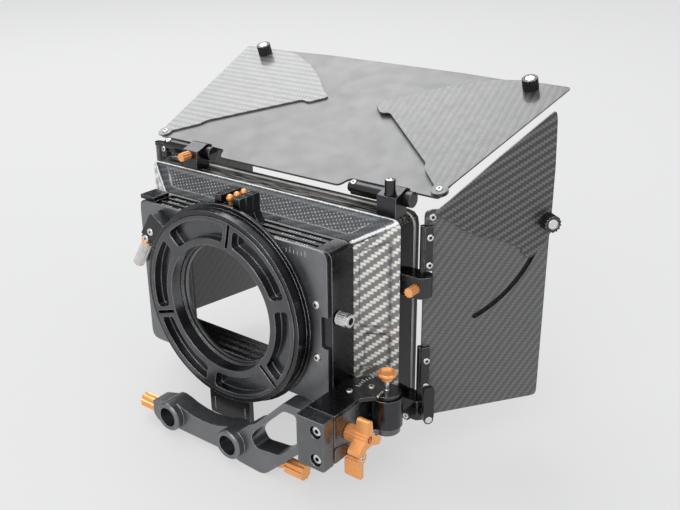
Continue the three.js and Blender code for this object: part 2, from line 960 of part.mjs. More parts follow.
function trayMesh(index) {
  const half = tray.thickness / 2;
  const frame = outline(rectangle(-trayHalfWidth, trayHalfWidth, tray.bottom, tray.top), tray.corner);
  let body = slabY(frame, -half, half);
  const aperture = outline(
    rectangle(-apertureHalfWidth, apertureHalfWidth, stage.apertureBottom, stage.apertureTop),
    stage.apertureCorner,
  );
  body = body.subtract(slabY(aperture, -half - overrun, half + overrun));
  const tabShape = outline([
    [-tray.tabRoot, tray.top - overrun],
    [tray.tabRoot, tray.top - overrun],
    [tray.tabRoot, stage.top + gap],
    [tray.tabHalf, tray.tabShoulder],
    [tray.tabHalf, tray.tabTop],
    [tray.tabSlotHalf, tray.tabTop],
    [tray.tabSlotHalf, tray.tabSlotFloor],
    [-tray.tabSlotHalf, tray.tabSlotFloor],
    [-tray.tabSlotHalf, tray.tabTop],
    [-tray.tabHalf, tray.tabTop],
    [-tray.tabHalf, tray.tabShoulder],
    [-tray.tabRoot, stage.top + gap],
  ]);
  const neck = slabY(tabShape, -half, half);
  const wide = (tray.pitch - gap) / 2;
  const head = slabY(tabShape, -wide, wide).subtract(
    box(-tray.tabRoot - overrun, tray.tabRoot + overrun, -tray.pitch, tray.pitch, 0, stage.top + gap),
  );
  body = body.add(neck).add(head);
  const hole = ballButton.stemRadius + gap;
  const floor = tray.tabSlotFloor - ballButton.stemDepth - ballButton.travel - gap;
  body = body.subtract(rodZ(hole, 0, 0, floor, tray.tabTop + overrun));
  return placed(piece("filter_tray_" + (index + 1), body, finishes.blackAnodised), 0, trayY(index), 0);
}

function ballButtonMesh(index) {
  const centre = tray.tabSlotFloor + ballButton.rise + ballButton.radius + gap;
  const sphere = new THREE.SphereGeometry(ballButton.radius, facets.small, facets.small / 2);
  let body = solidOf(sphere.rotateX(Math.PI / 2).translate(0, 0, centre));
  body = body.add(rodZ(ballButton.stemRadius, 0, 0, tray.tabSlotFloor - ballButton.stemDepth, centre));
  return placed(piece("tray_button_" + (index + 1), body, finishes.orangeAnodised), 0, trayY(index), 0);
}

function stopTabMesh() {
  const left = -stage.halfWidth - stopTab.overhang;
  const rear = plate.thickness + stopTab.setForward;
  const body = box(
    left,
    -trayHalfWidth - 2 * gap,
    rear,
    rear + stopTab.depth,
    stage.top,
    stage.top + stopTab.height,
  );
  return piece("stop_tab", body, finishes.blackAnodised);
}

function pushButtonMesh(name, z) {
  const body = rodX(pushButton.radius, -pushButton.proud, pushButton.depth, 0, 0);
  return placed(piece(name, body, finishes.orangeAnodised), -stage.halfWidth, pushButtonY(), z);
}

function sideKnobMesh() {
  let body = slabX(flutedShape(sideKnob.radius, sideKnob.fluteDepth, sideKnobFlutes), 0, sideKnob.length);
  body = body.add(rodX(sideKnob.stemRadius, gap - sideKnob.stemLength, gap, 0, 0));
  return placed(
    piece("side_knob", body, finishes.bareSteel),
    stage.halfWidth + sideKnob.standOff,
    sideKnobY(),
    sideKnob.height,
  );
}

// Lens clamp

// A point at a radius and an angle about the optical axis, seen from behind.
function polar(radius, angle) {
  return [radius * Math.cos(angle), radius * Math.sin(angle)];
}

// A bar that lies along the tangent of the ring at an angle, between two radii.
function tangentBar(angle, inner, outer, length, y0, y1, corner) {
  const shape = outline(rectangle(inner, outer, -length / 2, length / 2), corner);
  const geometry = extruded(shape, y1 - y0, facets.corner).rotateZ(angle).applyMatrix4(acrossY);
  return solidOf(geometry.translate(0, y1, 0));
}

function lensClampRing() {
  const rear = -clampRing.depth - gap;
  const front = -gap;
  let body = rodY(clampRing.radius, 0, rear, front, 0, facets.fine);
  body = body.add(
    rodY(clampRing.flangeRadius, 0, front - clampRing.flangeDepth, front, 0, facets.fine),
  );
  body = body.add(
    tangentBar(
      clampLugAngle,
      clampRing.bore + gap,
      clampRing.lugOuter,
      clampRing.lugLength,
      rear + clampRing.lugSetBack,
      front,
      clampRing.lugCorner,
    ),
  );
  const tongue = outline(
    rectangle(-clampRing.tongueHalf, clampRing.tongueHalf, clampRing.tongueFoot, -clampRing.bore),
    clampRing.tongueCorner,
  );
  const tongueRear = rear + clampRing.tongueBack;
  body = body.add(slabY(tongue, tongueRear, tongueRear + clampRing.tongueThickness));
  body = body.subtract(rodY(clampRing.bore, 0, rear - overrun, front + overrun, 0, facets.fine));
  body = body.subtract(
    tangentBar(
      clampSplitAngle,
      clampRing.bore - overrun,
      clampRing.lugOuter + overrun,
      clampRing.splitWidth,
      rear - overrun,
      front + overrun,
      0,
    ),
  );
  body = body.subtract(ringScrewSpace());
  return piece("clamp_ring", body, finishes.blackAnodised);
}

// Centre line of the ring's thumb screw: it runs along the tangent, out of the lower end of the lug.
function alongRingScrew(solidGeometry) {
  return solidOf(
    solidGeometry
      .rotateZ(clampLugAngle)
      .applyMatrix4(acrossY)
      .translate(0, -clampRing.depth - gap + ringScrew.setBack, 0),
  );
}

function ringScrewRod(radius, t0, t1) {
  const geometry = new THREE.CylinderGeometry(radius, radius, t1 - t0, facets.small);
  return alongRingScrew(geometry.translate(ringScrew.axisRadius, (t0 + t1) / 2, 0));
}

function ringScrewSpace() {
  const start = clampRing.lugLength / 2;
  return ringScrewRod(ringScrew.stemRadius + gap, start - ringScrew.stemLength - gap, start + overrun);
}

function ringScrewMesh() {
  const start = clampRing.lugLength / 2 + ringScrew.standOff;
  let body = ringScrewRod(ringScrew.stemRadius, start - ringScrew.stemLength, start + gap);
  body = body.add(ringScrewRod(ringScrew.discRadius, start, start + ringScrew.discLength));
  const grip = extruded(
    flutedShape(ringScrew.headRadius, ringScrew.fluteDepth, ringScrewFlutes),
    ringScrew.headLength,
    1,
  )
    .rotateX(-Math.PI / 2)
    .translate(ringScrew.axisRadius, start + ringScrew.discLength - gap, 0);
  body = body.add(alongRingScrew(grip));
  return piece("ring_screw", body, finishes.bareSteel);
}

// One pocket of the reduction ring, between two ribs, with rounded corners.
function pocketShape(index) {
  const step = (2 * Math.PI) / pocketCount;
  const from = ribPhase + index * step;
  const { pocketInner: inner, pocketOuter: outer, pocketCorner: corner } = reduction;
  const rib = (radius, extra) => Math.asin((reduction.ribHalf + extra) / radius);
  const shape = new THREE.Shape();
  const turn = (radius, angle, next) => {
    const [cx, cy] = polar(radius, angle);
    const [nx, ny] = polar(...next);
    shape.quadraticCurveTo(cx, cy, nx, ny);
  };
  const to = from + step;
  shape.absarc(0, 0, outer, from + rib(outer, corner), to - rib(outer, corner), false);
  turn(outer, to - rib(outer, 0), [outer - corner, to - rib(outer - corner, 0)]);
  shape.lineTo(...polar(inner + corner, to - rib(inner + corner, 0)));
  turn(inner, to - rib(inner, 0), [inner, to - rib(inner, corner)]);
  shape.absarc(0, 0, inner, to - rib(inner, corner), from + rib(inner, corner), true);
  turn(inner, from + rib(inner, 0), [inner + corner, from + rib(inner + corner, 0)]);
  shape.lineTo(...polar(outer - corner, from + rib(outer - corner, 0)));
  turn(outer, from + rib(outer, 0), [outer, from + rib(outer, corner)]);
  return shape;
}

function reductionRing() {
  const rear = -clampRing.depth - gap - reduction.proud;
  let body = ring(clampRing.bore - gap, reduction.bore, rear, -gap);
  body = body.add(ring(reduction.bore + gap, reduction.lipRadius, -gap - reduction.lipDepth, -gap));
  for (let i = 0; i < pocketCount; i += 1) {
    body = body.subtract(slabY(pocketShape(i), rear - overrun, rear + reduction.pocketDepth, facets.pocket));
    if (i % 2 === 0) {
      const angle = ribPhase + (2 * Math.PI * i) / pocketCount;
      const length = reduction.slitWidth;
      body = body.subtract(
        tangentBar(
          angle,
          reduction.slitInner,
          reduction.slitOuter,
          length,
          rear - overrun,
          rear + reduction.slitDepth,
          0,
        ),
      );
    }
  }
  return piece("reduction_ring", body, finishes.darkAnodised);
}

// Hood

// Corner points of a rounded rectangle about the optical axis, at one depth.
function hoodSection(halfWidth, halfHeight, corner, y) {
  const points = [];
  const quarter = facets.corner;
  const centres = [
    [halfWidth - corner, halfHeight - corner, 0],
    [corner - halfWidth, halfHeight - corner, 1],
    [corner - halfWidth, corner - halfHeight, 2],
    [halfWidth - corner, corner - halfHeight, 3],
  ];
  for (const [x, z, turn] of centres) {
    for (let k = 0; k <= quarter; k += 1) {
      const angle = (Math.PI / 2) * (turn + k / quarter);
      points.push(new THREE.Vector3(x + corner * Math.cos(angle), y, z + corner * Math.sin(angle)));
    }
  }
  return points;
}

// A solid through a row of sections with equal counts of points.
function loft(sections) {
  const count = sections[0].length;
  const positions = sections.flat().flatMap((p) => [p.x, p.y, p.z]);
  const index = [];
  for (let s = 0; s < sections.length - 1; s += 1) {
    for (let i = 0; i < count; i += 1) {
      const a = s * count + i;
      const b = s * count + ((i + 1) % count);
      index.push(a, a + count, b, b, a + count, b + count);
    }
  }
  const last = (sections.length - 1) * count;
  for (let i = 1; i < count - 1; i += 1) {
    index.push(0, i, i + 1);
    index.push(last, last + i + 1, last + i);
  }
  const geometry = new THREE.BufferGeometry();
  geometry.setAttribute("position", new THREE.Float32BufferAttribute(positions, 3));
  geometry.setIndex(index);
  return solidOf(geometry);
}

// Notch low on the right of the flare, where the swing arm lies.
function hoodNotch(grow) {
  return box(
    stage.halfWidth + hood.notchInset - grow,
    hood.frontHalfWidth + overrun,
    stageFront - overrun,
    rimRear - 2 * hood.wall + grow,
    -hood.frontHalfHeight - overrun,
    hood.notchHeight + grow,
  );
}

function hoodShell() {
  const w = hood.wall;
  const outer = loft([
    hoodSection(hood.rearHalfWidth, hood.rearHalfHeight, hood.corner, stageFront),
    hoodSection(hood.frontHalfWidth, hood.frontHalfHeight, hood.corner, rimRear),
  ]);
  const slope = (hood.frontHalfWidth - hood.rearHalfWidth) / hood.flareDepth;
  const rise = (hood.frontHalfHeight - hood.rearHalfHeight) / hood.flareDepth;
  const start = hood.rearWall;
  const side = w * Math.hypot(1, slope);
  const lid = w * Math.hypot(1, rise);
  const inner = loft([
    hoodSection(
      hood.rearHalfWidth + start * slope - side,
      hood.rearHalfHeight + start * rise - lid,
      hood.corner - w,
      stageFront + start,
    ),
    hoodSection(
      hood.frontHalfWidth + overrun * slope - side,
      hood.frontHalfHeight + overrun * rise - lid,
      hood.corner - w,
      rimRear + overrun,
    ),
  ]);
  const aperture = outline(
    rectangle(-apertureHalfWidth, apertureHalfWidth, stage.apertureBottom, stage.apertureTop),
    stage.apertureCorner,
  );
  let body = outer.subtract(hoodNotch(0)).subtract(inner.subtract(hoodNotch(w)));
  body = body.subtract(slabY(aperture, stageFront - overrun, stageFront + start + overrun));
  return piece("hood_shell", body, finishes.carbonShell);
}

function rimOutline(halfWidth, halfHeight, corner) {
  return outline(rectangle(-halfWidth, halfWidth, -halfHeight, halfHeight), corner);
}

function hoodRim() {
  const wide = hood.frontHalfWidth;
  const high = hood.frontHalfHeight;
  let body = slabY(rimOutline(wide, high, hood.corner), rimRear, lipRear);
  body = body.add(
    slabY(rimOutline(wide + hood.lipProud, high + hood.lipProud, hood.corner), lipRear, lipFront),
  );
  const w = hood.rimWall;
  body = body.subtract(
    slabY(rimOutline(wide - w, high - w, hood.corner - w / 2), rimRear - overrun, lipFront + overrun),
  );
  return piece("hood_rim", body, finishes.blackPlastic);
}

// Flag hinges

// Hinge barrel along X: a round rod with a turned head at one end, and a flat lug that the flag lies on.
function hingeBarrel(name, reach, lugStart, lugDrop) {
  const inner = clamp.half + gap;
  let body = rodX(barrel.radius, -reach, inner + gap, 0, 0);
  body = body.add(rodX(barrel.headRadius, inner, inner + barrel.headLength, 0, 0));
  const lugEnd = barrel.lugReach + topFlag.hingeBack;
  body = body.add(
    box(-reach, -lugStart, -barrel.radius / 2, lugEnd, lugDrop - barrel.lugThickness, lugDrop),
  );
  return piece(name, body, finishes.blackAnodised);
}

// Clamp round a barrel that runs along X; the seat lies at the given depth below the barrel.
function clampBody(seat, back, front) {
  const r = barrel.radius + gap + clamp.wall;
  const profile = outline(
    [
      [back, -seat],
      [front, -seat],
      [front, 0],
      ...topClampShares.map(([a, b]) => [a * r, b * r]),
      [back, clampHeelShare * r],
    ],
    clamp.corner,
  );
  let body = slabX(profile, -clamp.half, clamp.half);
  body = body.subtract(
    rodX(barrel.radius + gap, -clamp.half - overrun, clamp.half + overrun, 0, 0, facets.small),
  );
  return body;
}

function clampScrewMesh(name, finish) {
  let body = slabY(
    flutedShape(clampScrew.headRadius, clampScrew.fluteDepth, clampScrewFlutes),
    -clampScrew.headLength,
    0,
  );
  body = body.add(rodY(clampScrew.stemRadius, 0, -gap, clampScrew.sideInset, 0));
  return piece(name, body, finish);
}

// Rear face of a top clamp, measured back from the barrel's axis.
const clampBack = topAxis.y - rimRear;

function topClamp(name, x, upright) {
  const seat = topAxis.z - hood.frontHalfHeight;
  const hole = clampScrew.stemRadius + gap;
  let body = clampBody(seat, -clampBack, clamp.depth - clampBack);
  if (upright) {
    const y = uprightScrew.forward - clampBack;
    body = body.subtract(rodZ(uprightScrew.radius + gap, 0, y, uprightScrew.foot - gap, seat));
    body = body.subtract(rodZ(hole, 0, y, uprightScrew.foot - clampScrew.inset - gap, seat));
  } else {
    body = body.subtract(rodY(hole, 0, -clampBack - overrun, -clampBack + clampScrew.sideInset + gap, 0));
  }
  return placed(piece(name, body, finishes.blackAnodised), x, topAxis.y, topAxis.z);
}

function topClampScrew(name, x) {
  return placed(clampScrewMesh(name, finishes.orangeAnodised), x, rimRear - gap, topAxis.z);
}

// Round-headed screw that stands upright in the right-hand clamp.
function uprightScrewMesh(name, x) {
  let body = rodZ(uprightScrew.radius, 0, 0, 0, uprightScrew.length);
  body = body.add(rodZ(clampScrew.stemRadius, 0, 0, -clampScrew.inset, gap));
  return placed(
    piece(name, body, finishes.blackAnodised),
    x,
    rimRear + uprightScrew.forward,
    topAxis.z + uprightScrew.foot,
  );
}

// Top flag and its wings

function topFlagPlate() {
  const w = topFlag.halfWidth;
  const l = topFlag.length;
  const shape = outline(
    [
      [-w, 0],
      [-topFlag.rearHalf, 0],
      [-topFlag.rearHalf + topFlag.rearCorner, -topFlag.rearReach],
      [topFlag.rearHalf - topFlag.rearCorner, -topFlag.rearReach],
      [topFlag.rearHalf, 0],
      [w, 0],
      [w, l],
      [w / 2, l + topFlag.bulge],
      [-w / 2, l + topFlag.bulge],
      [-w, l],
    ],
    topFlag.corner,
  );
  let body = slabZ(shape, -topFlag.thickness, 0);
  for (const side of [-1, 1]) {
    const hole = topWing.pinRadius + gap;
    const x = side * wingPivotX();
    body = body.subtract(rodZ(hole, x, topWing.pivotForward, -topFlag.thickness - overrun, overrun));
  }
  return piece("top_flag", body, finishes.satinSheet);
}

function topWingMesh(name, side, level) {
  const r = topFlag.length - topWing.frontInset;
  let points = topWingShares.map(([a, b]) => [a * r, b * r]);
  if (side > 0) {
    points = mirrored(points);
  }
  const upper = level + topWing.thickness;
  let body = slabZ(outline(points, topWing.corner), level, upper);
  body = body.add(rodZ(topWing.pivotRadius, 0, 0, gap, upper));
  body = body.add(rodZ(topWing.pinRadius, 0, 0, -topFlag.thickness, upper));
  const knobX = side * (topWing.pivotInset - topKnob.inset);
  const knobY = topKnobForward() - topWing.pivotForward;
  body = body.subtract(rodZ(flagKnob.stemRadius + gap, knobX, knobY, level - overrun, upper + overrun));
  return placed(piece(name, body, finishes.carbonSheet), side * wingPivotX(), topWing.pivotForward, 0);
}

function wingPivotX() {
  return topFlag.halfWidth - topWing.pivotInset;
}

function topKnobForward() {
  return topFlag.length - topKnob.frontInset;
}

// Knob with a fluted grip and a shallow dish for its cap, standing on +Z, and the stem below it.
function flagKnobMesh(name, stemDepth) {
  const shape = flutedShape(flagKnob.radius, flagKnob.fluteDepth, flagKnobFlutes);
  const top = flagKnob.length;
  let body = slabZ(shape, 0, top);
  body = body.subtract(rodZ(flagKnob.discRadius, 0, 0, top - flagKnob.discDepth, top + overrun));
  body = body.add(rodZ(flagKnob.stemRadius, 0, 0, -stemDepth, gap));
  return piece(name, body, finishes.blackAnodised);
}

function buildTopFlag() {
  const flag = groupAt(0, topAxis.y, topAxis.z);
  flag.rotation.x = topTilt;
  const sheet = groupAt(0, topFlag.hingeBack, -topFlag.hingeRise);
  sheet.add(topFlagPlate());
  const lowLevel = gap;
  const highLevel = gap + topWing.levelStep;
  sheet.add(topWingMesh("top_wing_left", -1, lowLevel));
  sheet.add(topWingMesh("top_wing_right", 1, highLevel));
  const knobX = topFlag.halfWidth - topKnob.inset;
  const stand = topWing.thickness + gap;
  sheet.add(placed(flagKnobMesh("top_knob_left", stand), -knobX, topKnobForward(), lowLevel + stand));
  sheet.add(placed(flagKnobMesh("top_knob_right", stand), knobX, topKnobForward(), highLevel + stand));
  flag.add(sheet);
  const lugDrop = -topFlag.hingeRise - topFlag.thickness - gap;
  for (const [name, x] of [
    ["top_hinge_left", topFlag.leftClamp],
    ["top_hinge_right", topFlag.rightClamp],
  ]) {
    flag.add(placed(hingeBarrel(name, barrel.reach, barrel.lugStart, lugDrop), x, 0, 0));
  }
  return flag;
}

// Side flags

function sidePlateShape(start) {
  const top = sideFlag.bottom + sideFlag.height;
  return outline(rectangle(start, sideFlag.length, sideFlag.bottom, top), sideFlag.corner);
}

function slotShape() {
  const half = arcSlot.width / 2;
  const shape = new THREE.Shape();
  const [cy, cz] = arcCentre();
  const middle = arcSlot.radius;
  shape.absarc(cy, cz, middle + half, arcSlotStart, arcSlotEnd, true);
  const [ey, ez] = polar(middle, arcSlotEnd);
  shape.absarc(cy + ey, cz + ez, half, arcSlotEnd, arcSlotEnd - Math.PI, true);
  shape.absarc(cy, cz, middle - half, arcSlotEnd, arcSlotStart, false);
  const [sy, sz] = polar(middle, arcSlotStart);
  shape.absarc(cy + sy, cz + sz, half, arcSlotStart + Math.PI, arcSlotStart, true);
  return shape;
}

function arcCentre() {
  return [arcSlot.pivotIn, sideFlag.bottom + sideFlag.height - arcSlot.pivotDown];
}

function rightFlagPlate() {
  const half = sideFlag.thickness / 2;
  let body = slabX(sidePlateShape(sideFlag.start), -half, half);
  body = body.subtract(slabX(slotShape(), -half - overrun, half + overrun, facets.round / 2));
  const [cy, cz] = arcCentre();
  body = body.subtract(rodX(sideWing.pinRadius + gap, -half - overrun, half + overrun, cy, cz));
  const inset = sideBarrelSize.radius + gap;
  const clampEdge = inset + sideClampWall + gap;
  const notch = clamp.half + gap + sideBarrelSize.headLength + gap;
  for (const [z, length] of [
    [rightHinge.upperClamp, rightHinge.upperReach],
    [rightHinge.lowerClamp, rightHinge.lowerReach],
  ]) {
    const reach = half + overrun;
    body = body.subtract(box(-reach, reach, 0, clampEdge, z - notch, z + notch));
    body = body.subtract(box(-reach, reach, 0, inset, z - notch, z + length + gap));
  }
  return piece("right_flag", body, finishes.carbonSheet);
}

function sideWingMesh() {
  const r = arcSlot.radius + sideWing.tipMargin;
  const points = sideWingShares.map(([a, b]) => [a * r, b * r]);
  let body = slabX(outline(points, sideWing.corner), 0, sideWing.thickness);
  body = body.add(rodX(sideWing.pivotRadius, 0, sideWing.thickness, 0, 0));
  const [ky, kz] = polar(arcSlot.radius, arcSlotStart);
  body = body.subtract(rodX(flagKnob.stemRadius + gap, -overrun, sideWing.thickness + overrun, ky, kz));
  body = body.add(rodX(sideWing.pinRadius, -sideFlag.thickness, 0, 0, 0));
  const [cy, cz] = arcCentre();
  return placed(piece("right_wing", body, finishes.carbonSheet), sideFlag.thickness / 2 + gap, cy, cz);
}

function sideKnobMount() {
  const [cy, cz] = arcCentre();
  const [ky, kz] = polar(arcSlot.radius, arcSlotStart);
  const x = sideFlag.thickness / 2 + gap + sideWing.thickness + gap;
  const mount = groupAt(x, cy + ky, cz + kz);
  mount.rotation.y = Math.PI / 2;
  mount.add(flagKnobMesh("right_knob", x + sideFlag.thickness / 2));
  return mount;
}

// Hinge barrel of the right flag, standing on end, with its lug on the flag's outer face.
function sideBarrel(name, reach, z) {
  const inner = clamp.half + gap;
  const size = sideBarrelSize;
  let body = rodZ(size.radius, 0, 0, -inner - gap, reach);
  body = body.add(rodZ(size.headRadius, 0, 0, -inner - size.headLength, -inner));
  const face = sideFlag.thickness / 2 + gap;
  body = body.add(box(face, face + size.lugThickness, 0, size.lugReach, barrel.lugStart, reach));
  return placed(piece(name, body, finishes.blackAnodised), 0, 0, z);
}

function buildRightFlag() {
  const flag = groupAt(hood.frontHalfWidth + rightHinge.outboard, rimRear + rightHinge.forward, 0);
  flag.rotation.z = rightAngle;
  flag.add(rightFlagPlate());
  flag.add(sideWingMesh());
  flag.add(sideKnobMount());
  flag.add(sideBarrel("right_hinge_upper", rightHinge.upperReach, rightHinge.upperClamp));
  flag.add(sideBarrel("right_hinge_lower", rightHinge.lowerReach, rightHinge.lowerClamp));
  return flag;
}

// Clamp on the right side of the rim, round an upright barrel.
function sideClamp(name, z) {
  const seat = rightHinge.outboard;
  const back = rightHinge.forward;
  const bore = sideBarrelSize.radius + gap;
  const r = bore + sideClampWall;
  const profile = outline(
    [
      [-seat, -back],
      [clampHeelShare * r, -back],
      ...sideClampShares.map(([a, b]) => [a * r, b * r]),
      [-seat, sideClampShares[2][1] * r],
    ],
    clamp.corner,
  );
  let body = slabZ(profile, -clamp.half, clamp.half);
  body = body.subtract(
    rodZ(bore, 0, 0, -clamp.half - overrun, clamp.half + overrun),
  );
  body = body.subtract(
    rodY(clampScrew.stemRadius + gap, 0, -back - overrun, -back + clampScrew.sideInset + gap, 0),
  );
  return placed(
    piece(name, body, finishes.blackAnodised),
    hood.frontHalfWidth + rightHinge.outboard,
    rimRear + rightHinge.forward,
    z,
  );
}

function sideClampScrew(name, z, finish) {
  const x = hood.frontHalfWidth + rightHinge.outboard;
  return placed(clampScrewMesh(name, finish), x, rimRear - gap, z);
}

// Black clamping lever beside the lower clamp: a hub that points out and back, and an upright blade.
function lowerLeverMesh() {
  const lever = lowerLever;
  let body = rodX(lever.hubRadius, lever.start, lever.start + lever.hubLength, 0, 0);
  const blade = outline(rectangle(-lever.width / 2, lever.width / 2, 0, lever.length), lever.width / 3);
  const end = lever.start + lever.hubLength;
  body = body.add(slabX(blade, end - lever.thickness, end));
  const mesh = placed(
    piece("lower_lever", body, finishes.blackPlastic),
    hood.frontHalfWidth + rightHinge.outboard,
    rimRear + rightHinge.forward,
    rightHinge.lowerClamp,
  );
  mesh.rotation.z = leverAngle;
  return mesh;
}

function leftFlagMesh() {
  const half = sideFlag.thickness / 2;
  let body = slabX(sidePlateShape(0), -half, half);
  body = body.add(
    rodZ(leftHinge.barrelRadius, 0, 0, sideFlag.bottom, sideFlag.bottom + sideFlag.height),
  );
  for (const end of [-1, 1]) {
    const z = sideFlag.bottom + (sideFlag.height * (1 + end)) / 2;
    const reach = cornerBracket.earThickness + gap;
    body = body.subtract(rodZ(cornerBracket.pinRadius + gap, 0, 0, z - reach, z + reach));
  }
  return piece("left_flag", body, finishes.carbonSheet);
}

function buildLeftFlag() {
  const flag = groupAt(-hood.frontHalfWidth - leftHinge.outboard, rimRear + leftHinge.forward, 0);
  flag.rotation.z = leftAngle;
  flag.add(leftFlagMesh());
  return flag;
}

// Ear over (end = 1) or under (end = -1) the left flag's barrel, with the pin that enters it.
function cornerEar(end, inner) {
  const flagEnd = sideFlag.bottom + (sideFlag.height * (1 + end)) / 2;
  const x = -hood.frontHalfWidth - leftHinge.outboard;
  const y = rimRear + leftHinge.forward;
  const near = flagEnd + end * gap;
  const far = near + end * cornerBracket.earThickness;
  const low = Math.min(near, far);
  const high = Math.max(near, far);
  const half = cornerBracket.earDepth / 2;
  let body = box(x, inner, y - half, y + half, low, high);
  body = body.add(rodZ(half, x, y, low, high));
  const pinEnd = near - end * cornerBracket.earThickness;
  body = body.add(rodZ(cornerBracket.pinRadius, x, y, Math.min(pinEnd, far), Math.max(pinEnd, far)));
  return { body, low, high };
}

// Upper bracket: a low block on top of the rim, with the ear at its outer end.
function upperCornerBracket() {
  const outer = -hood.frontHalfWidth - cornerBracket.overhang;
  const inner = topFlag.leftClamp - barrel.reach - gap;
  const ear = cornerEar(1, inner);
  const rear = rimRear + leftHinge.forward - cornerBracket.earDepth / 2;
  const block = box(
    outer,
    inner,
    rear,
    rear + cornerBracket.blockDepth,
    hood.frontHalfHeight,
    ear.high,
  );
  return piece("corner_bracket_upper", ear.body.add(block), finishes.blackAnodised);
}

// Lower bracket: a leg on the rim's left side, with the ear at its foot.
function lowerCornerBracket() {
  const side = -hood.frontHalfWidth;
  const ear = cornerEar(-1, side);
  const rear = rimRear + leftHinge.forward - cornerBracket.earDepth / 2;
  const leg = box(
    side - cornerBracket.legThickness,
    side,
    rear,
    rear + cornerBracket.blockDepth,
    ear.low,
    ear.low + cornerBracket.legHeight,
  );
  return piece("corner_bracket_lower", ear.body.add(leg), finishes.blackAnodised);
}

// Assembly

function buildSupport() {
  const group = new THREE.Group();
  group.add(rodBracket());
  group.add(rodScrewMesh("rod_screw_left", -1));
  group.add(rodScrewMesh("rod_screw_right", 1));
  group.add(armBlock());
  group.add(armSlide());
  group.add(pivotPlateMesh());
  group.add(ejectPinMesh());
  group.add(tensionKnob());
  group.add(flipLatch());
  return group;
}

function buildBox() {
  const group = groupAt(0, plate.offset, axisHeight);
  group.add(rearPlate());
  group.add(stageBody());
  for (let i = 0; i < trayCount; i += 1) {
    group.add(trayMesh(i));
    group.add(ballButtonMesh(i));
  }
  group.add(stopTabMesh());
  for (const [name, z] of Object.entries(pushButtonHeights)) {
    group.add(pushButtonMesh("push_button_" + name, z));
  }
  group.add(sideKnobMesh());
  group.add(lensClampRing());
  group.add(ringScrewMesh());
  group.add(reductionRing());
  group.add(hoodShell());
  group.add(hoodRim());
  group.add(topClamp("top_clamp_left", topFlag.leftClamp, false));
  group.add(topClamp("top_clamp_right", topFlag.rightClamp, true));
  group.add(topClampScrew("top_screw_left", topFlag.leftClamp));
  group.add(uprightScrewMesh("top_screw_right", topFlag.rightClamp));
  group.add(buildTopFlag());
  group.add(sideClamp("side_clamp_upper", rightHinge.upperClamp));
  group.add(sideClamp("side_clamp_lower", rightHinge.lowerClamp));
  group.add(sideClampScrew("side_screw_upper", rightHinge.upperClamp, finishes.orangeAnodised));
  group.add(sideClampScrew("side_screw_lower", rightHinge.lowerClamp, finishes.blackPlastic));
  group.add(lowerLeverMesh());
  group.add(buildRightFlag());
  group.add(buildLeftFlag());
  group.add(upperCornerBracket());
  group.add(lowerCornerBracket());
  return group;
}

const matteBox = new THREE.Group();
matteBox.add(buildSupport());
matteBox.add(swingYoke());
matteBox.add(buildBox());

export default matteBox;
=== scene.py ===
"""Dressed visual model of a swing-away matte box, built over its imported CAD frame."""

import logging
import math
from dataclasses import dataclass, field
from enum import Enum
from typing import Callable, Sequence

import bmesh
import bpy
from mathutils import Matrix, Vector


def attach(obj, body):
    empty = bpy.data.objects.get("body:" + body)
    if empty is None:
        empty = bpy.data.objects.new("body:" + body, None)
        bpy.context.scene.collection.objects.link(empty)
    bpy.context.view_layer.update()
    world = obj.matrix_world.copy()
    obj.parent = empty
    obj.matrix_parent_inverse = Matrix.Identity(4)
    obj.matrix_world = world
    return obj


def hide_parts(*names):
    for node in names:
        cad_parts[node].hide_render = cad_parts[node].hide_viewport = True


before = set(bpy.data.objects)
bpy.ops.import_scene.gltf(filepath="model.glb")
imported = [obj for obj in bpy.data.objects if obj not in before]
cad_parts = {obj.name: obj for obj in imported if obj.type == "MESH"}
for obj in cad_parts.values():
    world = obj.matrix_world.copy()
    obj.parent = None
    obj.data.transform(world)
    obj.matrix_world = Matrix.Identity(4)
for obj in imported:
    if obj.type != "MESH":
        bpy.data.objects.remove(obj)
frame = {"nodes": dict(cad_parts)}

LOG = logging.getLogger("matte_box")
MM = 0.001
Point = Sequence[float]
Socket = bpy.types.NodeSocket

# Directions in the part's frame: X to the box's right, Y forward along the rods, Z up.
RIGHTWARD = (1, 0, 0)
REARWARD = (0, -1, 0)
UPWARD = (0, 0, 1)

# Windows of values that a ramp stretches to its full range.
WIDE = (0.3, 0.7)
UPPER = (0.35, 0.7)
MIDDLE = (0.35, 0.65)
LOWER = (0.3, 0.6)
NARROW = (0.4, 0.6)

# Flatness of a place: on a sharp edge, and away from it.
EDGE = (0.72, 0.985)

# Octaves of a noise.
PLAIN, RICH = 2.0, 4.0

# Sockets of the Mix node, which holds one set for each kind of data.
MIX_FLOATS = (2, 3)
MIX_COLOURS = (6, 7)
MIX_COLOUR_RESULT = 2


class Slot(str, Enum):
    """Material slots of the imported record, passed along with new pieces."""

    PLATE = "plate_anodised"
    BLACK = "black_anodised"
    ORANGE = "orange_anodised"
    METAL = "bare_metal"
    SHELL = "carbon_shell"


@dataclass(frozen=True)
class Speckle:
    """Noise with its scale in features a metre, of which a window of values is stretched from low to high."""

    scale: float
    low: float = 0.0
    high: float = 1.0
    window: tuple = WIDE
    octaves: float = 3.0
    stretch: tuple = (1, 1, 1)


